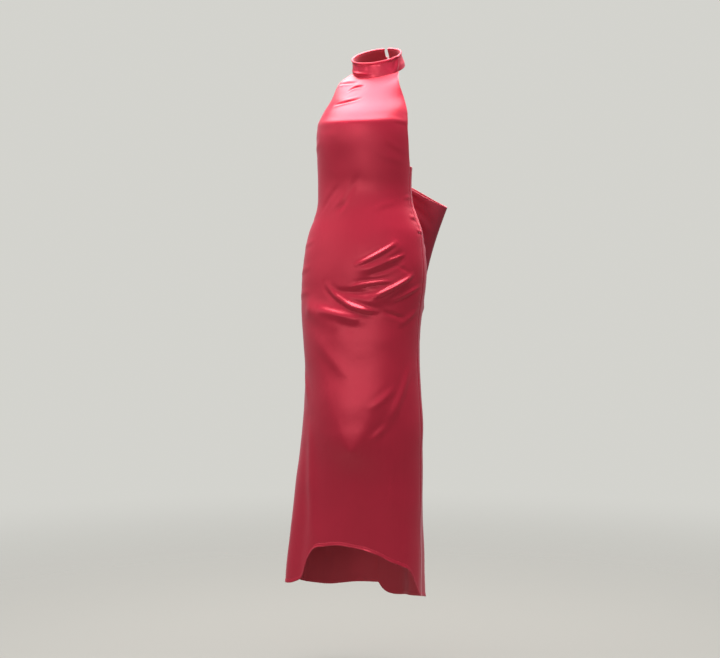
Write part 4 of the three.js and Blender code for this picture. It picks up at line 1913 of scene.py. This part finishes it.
@dataclass
class NapeClosure:
    """A covered button and a thin satin cord loop at the nape."""

    cap_radius: float = 5.2
    cap_height: float = 2.8
    stem_radius: float = 1.7
    stem_height: float = 2.4
    dome: float = 1.1
    cord: float = 1.5
    reach: float = 19.0
    above: float = -10.0
    from_end: float = 2.5
    rings: int = 60
    segments: int = 48
    tucks: int = 12
    tuck_depth: float = 0.10
    tuck_place: float = 5.0
    tuck_spread: float = 1.1
    leg_narrow: float = 0.8
    leg_middle: float = 0.4
    bend_points: int = 13

    def seat(self) -> tuple[Array, Array]:
        """Finds where the closure stands on the band.

        Returns:
            Its place and its axes, the axes as rows.
        """
        along = math.degrees((self.stem_radius + self.from_end) / FORM.band_low_radius)
        angle = FORM.band_half_gap + along
        spot = FORM.band(-(FORM.back_seam - angle), 0.5 + self.above / FORM.band_height)
        flat = Vector((spot[0], spot[1], 0.0)).normalized()
        out = Matrix.Rotation(FORM.band_tilt, 3, "X") @ flat
        turn = Vector((0, 0, 1)).rotation_difference(out)
        axes = np.array([turn @ Vector(axis) for axis in ((1, 0, 0), (0, 1, 0), (0, 0, 1))])
        return spot + FORM.seam_gap * np.array(out), axes

    def button(self) -> bpy.types.Object:
        """Builds the button: a domed cap with gathered satin below, on its stem.

        Returns:
            The button.
        """
        spot, axes = self.seat()
        r, h = self.cap_radius, self.cap_height
        low = self.stem_height
        profile = SmoothTable("t r z", [
            (0, 0.0, 0.0), (1, self.stem_radius, 0.02), (2, self.stem_radius, 0.5 * low),
            (3, self.stem_radius, 0.92 * low), (4, 0.7 * r, low), (5, 0.95 * r, low + 0.10 * h),
            (6, r, low + 0.38 * h), (7, 0.90 * r, low + 0.74 * h), (8, 0.66 * r, low + h),
            (9, 0.34 * r, low + h + 0.75 * self.dome), (10, 0.0, low + h + self.dome),
        ])
        t = np.linspace(0.05, 9.97, self.rings)
        line = profile.at(t)
        turn = np.linspace(0, 2 * np.pi, self.segments + 1)[:-1]
        tuck = self.tuck_depth * np.cos(self.tucks * turn)
        tuck = tuck * bell(t - self.tuck_place, self.tuck_spread)[:, None]
        radius = line["r"][:, None] + tuck
        ring = joined(radius * np.cos(turn), radius * np.sin(turn), line["z"][:, None])
        index = np.arange(self.rings * self.segments).reshape(self.rings, self.segments)
        a, b = index[:-1], index[1:]
        faces = np.stack([a, np.roll(a, -1, axis=1), np.roll(b, -1, axis=1), b], axis=-1)
        vertices = ring.reshape(-1, 3)
        caps = []
        for row, order in ((index[0], -1), (index[-1], 1)):
            for k in range(0, self.segments - 2, 2):
                quad = [row[0], row[k + 1], row[k + 2], row[k + 3]]
                caps.append(quad[::order])
        faces = np.vstack([faces.reshape(-1, 4), np.array(caps)])
        placed = vertices @ axes + spot
        flat = vertices[:, :2] * METRES
        made = mesh_object("nape_button_satin", placed, faces, [SATIN.material()], flat)
        settle(made, "satin", "nape_button")
        return made

    def loop(self) -> bpy.types.Object:
        """Builds the cord loop round the button's stem.

        Returns:
            The cord.
        """
        spot, axes = self.seat()
        inner = self.stem_radius + FORM.seam_gap + self.cord / 2
        bend = [(-inner * math.cos(t), inner * math.sin(t))
                for t in np.linspace(-math.pi / 2, math.pi / 2, self.bend_points)]
        # The two legs lie a little closer than the bend is wide
        leg = [(self.reach * share, inner * self.leg_narrow) for share in (1.0, self.leg_middle)]
        flat = [*((x, -y) for x, y in leg), *bend, *leg[::-1]]
        route = [Vector((x, y, -x * x / (2 * FORM.band_low_radius))) for x, y in flat]
        curve = bpy.data.curves.new("nape_loop_route", "CURVE")
        curve.dimensions = "3D"
        curve.bevel_depth = self.cord / 2 * METRES
        curve.bevel_resolution = 3
        curve.use_fill_caps = True
        spline = curve.splines.new("NURBS")
        spline.points.add(len(route) - 1)
        lift = self.cord / 2 + FORM.seam_gap
        for point, place in zip(spline.points, route):
            local = np.array(place) + (0.0, 0.0, lift)
            point.co = (*((local @ axes + spot) * METRES), 1.0)
        spline.use_endpoint_u = True
        spline.order_u = 3
        spline.resolution_u = 5
        guide = bpy.data.objects.new("nape_loop_guide", curve)
        made = plain_piece(guide, "nape_loop_cord", THREAD.material())
        settle(made, "cord", "nape_loop")
        return made

    def make(self) -> list[bpy.types.Object]:
        """Builds the button and its loop."""
        return [self.button(), self.loop()]


# Floor, light and camera


@dataclass(frozen=True)
class SoftLight:
    """One large soft light: its place, what it points at, its size and power."""

    name: str
    place: tuple[float, float, float]
    aim: tuple[float, float, float]
    size: float
    power: float
    colour: tuple[float, float, float] = (1.0, 0.985, 0.96)
    spread: float = 180.0

    def make(self) -> bpy.types.Object:
        """Adds the light.

        Returns:
            The light's object.
        """
        lamp = bpy.data.lights.new(self.name, "AREA")
        lamp.shape = "DISK"
        lamp.size = self.size
        lamp.energy = self.power
        lamp.color = self.colour
        lamp.spread = math.radians(self.spread)
        made = bpy.data.objects.new(self.name, lamp)
        made.location = self.place
        aim = Vector(self.aim) - Vector(self.place)
        made.rotation_euler = aim.to_track_quat("-Z", "Y").to_euler()
        bpy.context.scene.collection.objects.link(made)
        return made


@dataclass
class Studio:
    """The plain pale surroundings and the camera."""

    floor_height: float = -1.54
    floor_half: float = 4.0
    backdrop: tuple[float, float, float, float] = (0.655, 0.652, 0.615, 1)
    backdrop_glow: float = 0.42
    azimuth: float = 25.0
    distance: float = 4.2
    eye_height: float = -0.44
    focal_pixels: float = 1680.0
    image_width: float = 720.0
    sensor: float = 36.0
    aim_left: float = 17.5
    aim_down: float = 266.5
    lights: tuple[SoftLight, ...] = (
        SoftLight("overhead", (-0.2, 0.25, 1.95), (0.0, -0.05, -0.3), 4.0, 500.0),
        SoftLight("left", (-2.7, -2.1, 0.3), (0.0, 0.0, -0.5), 1.6, 9.0),
        SoftLight("ahead", (0.0, -3.5, -0.4), (0.0, 0.0, -0.6), 0.8, 15.0),
        SoftLight("behind", (1.4, 2.0, 1.2), (0.0, 0.0, -0.1), 1.2, 14.0),
        SoftLight("high", (0.5, -3.2, 0.75), (0.0, 0.0, -0.2), 2.0, 5.0, (0.93, 0.93, 1.0)),
        SoftLight("low", (0.6, -2.2, -1.25), (0.0, -0.06, 0.03), 0.25, 0.17, (1.0, 0.93, 1.0),
                  spread=9.0),
    )

    def floor(self) -> None:
        """Adds the floor."""
        half = self.floor_half
        corners = [(-half, -half), (half, -half), (half, half), (-half, half)]
        mesh = bpy.data.meshes.new("floor")
        mesh.from_pydata([(x, y, self.floor_height) for x, y in corners], [], [(0, 1, 2, 3)])
        mesh.materials.append(PaleFloor().material())
        made = bpy.data.objects.new("floor", mesh)
        bpy.context.scene.collection.objects.link(made)

    def world(self) -> None:
        """Sets the plain pale backdrop."""
        world = bpy.data.worlds.new("backdrop")
        world.use_nodes = True
        world.node_tree.nodes.clear()
        maker = NodeMaker(world.node_tree)
        seen = maker.node("ShaderNodeBackground", inputs={"Color": self.backdrop, "Strength": 1.0})
        glow = maker.node("ShaderNodeBackground", inputs={
            "Color": self.backdrop, "Strength": self.backdrop_glow})
        ray = maker.node("ShaderNodeLightPath").outputs["Is Camera Ray"]
        both = maker.node("ShaderNodeMixShader", inputs={
            0: ray, 1: glow.outputs[0], 2: seen.outputs[0]})
        maker.node("ShaderNodeOutputWorld", inputs={"Surface": both.outputs[0]})
        bpy.context.scene.world = world
        bpy.context.scene.view_settings.view_transform = "Standard"

    def camera(self) -> None:
        """Adds the camera, level with the skirt and turned to the wearer's left."""
        angle = math.radians(self.azimuth)
        place = Vector((math.sin(angle) * self.distance, -math.cos(angle) * self.distance,
                        self.eye_height))
        forward = Vector((-math.sin(angle), math.cos(angle), 0.0))
        right = Vector((math.cos(angle), math.sin(angle), 0.0))
        yaw = math.atan2(self.aim_left, self.focal_pixels)
        forward, right = (forward * math.cos(yaw) - right * math.sin(yaw),
                          right * math.cos(yaw) + forward * math.sin(yaw))
        pitch = (math.atan2(self.aim_down, self.focal_pixels)
                 - math.atan2(-self.eye_height, self.distance))
        up = Vector((0.0, 0.0, 1.0))
        forward, up = (forward * math.cos(pitch) - up * math.sin(pitch),
                       up * math.cos(pitch) + forward * math.sin(pitch))
        lens = bpy.data.cameras.new("camera")
        lens.sensor_width = self.sensor
        lens.lens = self.focal_pixels / self.image_width * self.sensor
        made = bpy.data.objects.new("camera", lens)
        turn = Matrix((right, up, -forward)).transposed().to_4x4()
        made.matrix_world = Matrix.Translation(place) @ turn
        bpy.context.scene.collection.objects.link(made)
        bpy.context.scene.camera = made

    def make(self) -> None:
        """Builds the surroundings."""
        self.floor()
        self.world()
        for light in self.lights:
            light.make()
        self.camera()


def main() -> None:
    """Builds the surroundings and then each piece of the dress."""
    logging.basicConfig(level=logging.INFO, format="%(name)s: %(message)s")
    Studio().make()
    finish = PanelFinish()
    NeckBand().make()
    FrontPanel(finish).make()
    for side in Side:
        BackPanel(side, finish).make()
    Bow().make()
    NapeClosure().make()


if __name__ == "__main__":
    main()
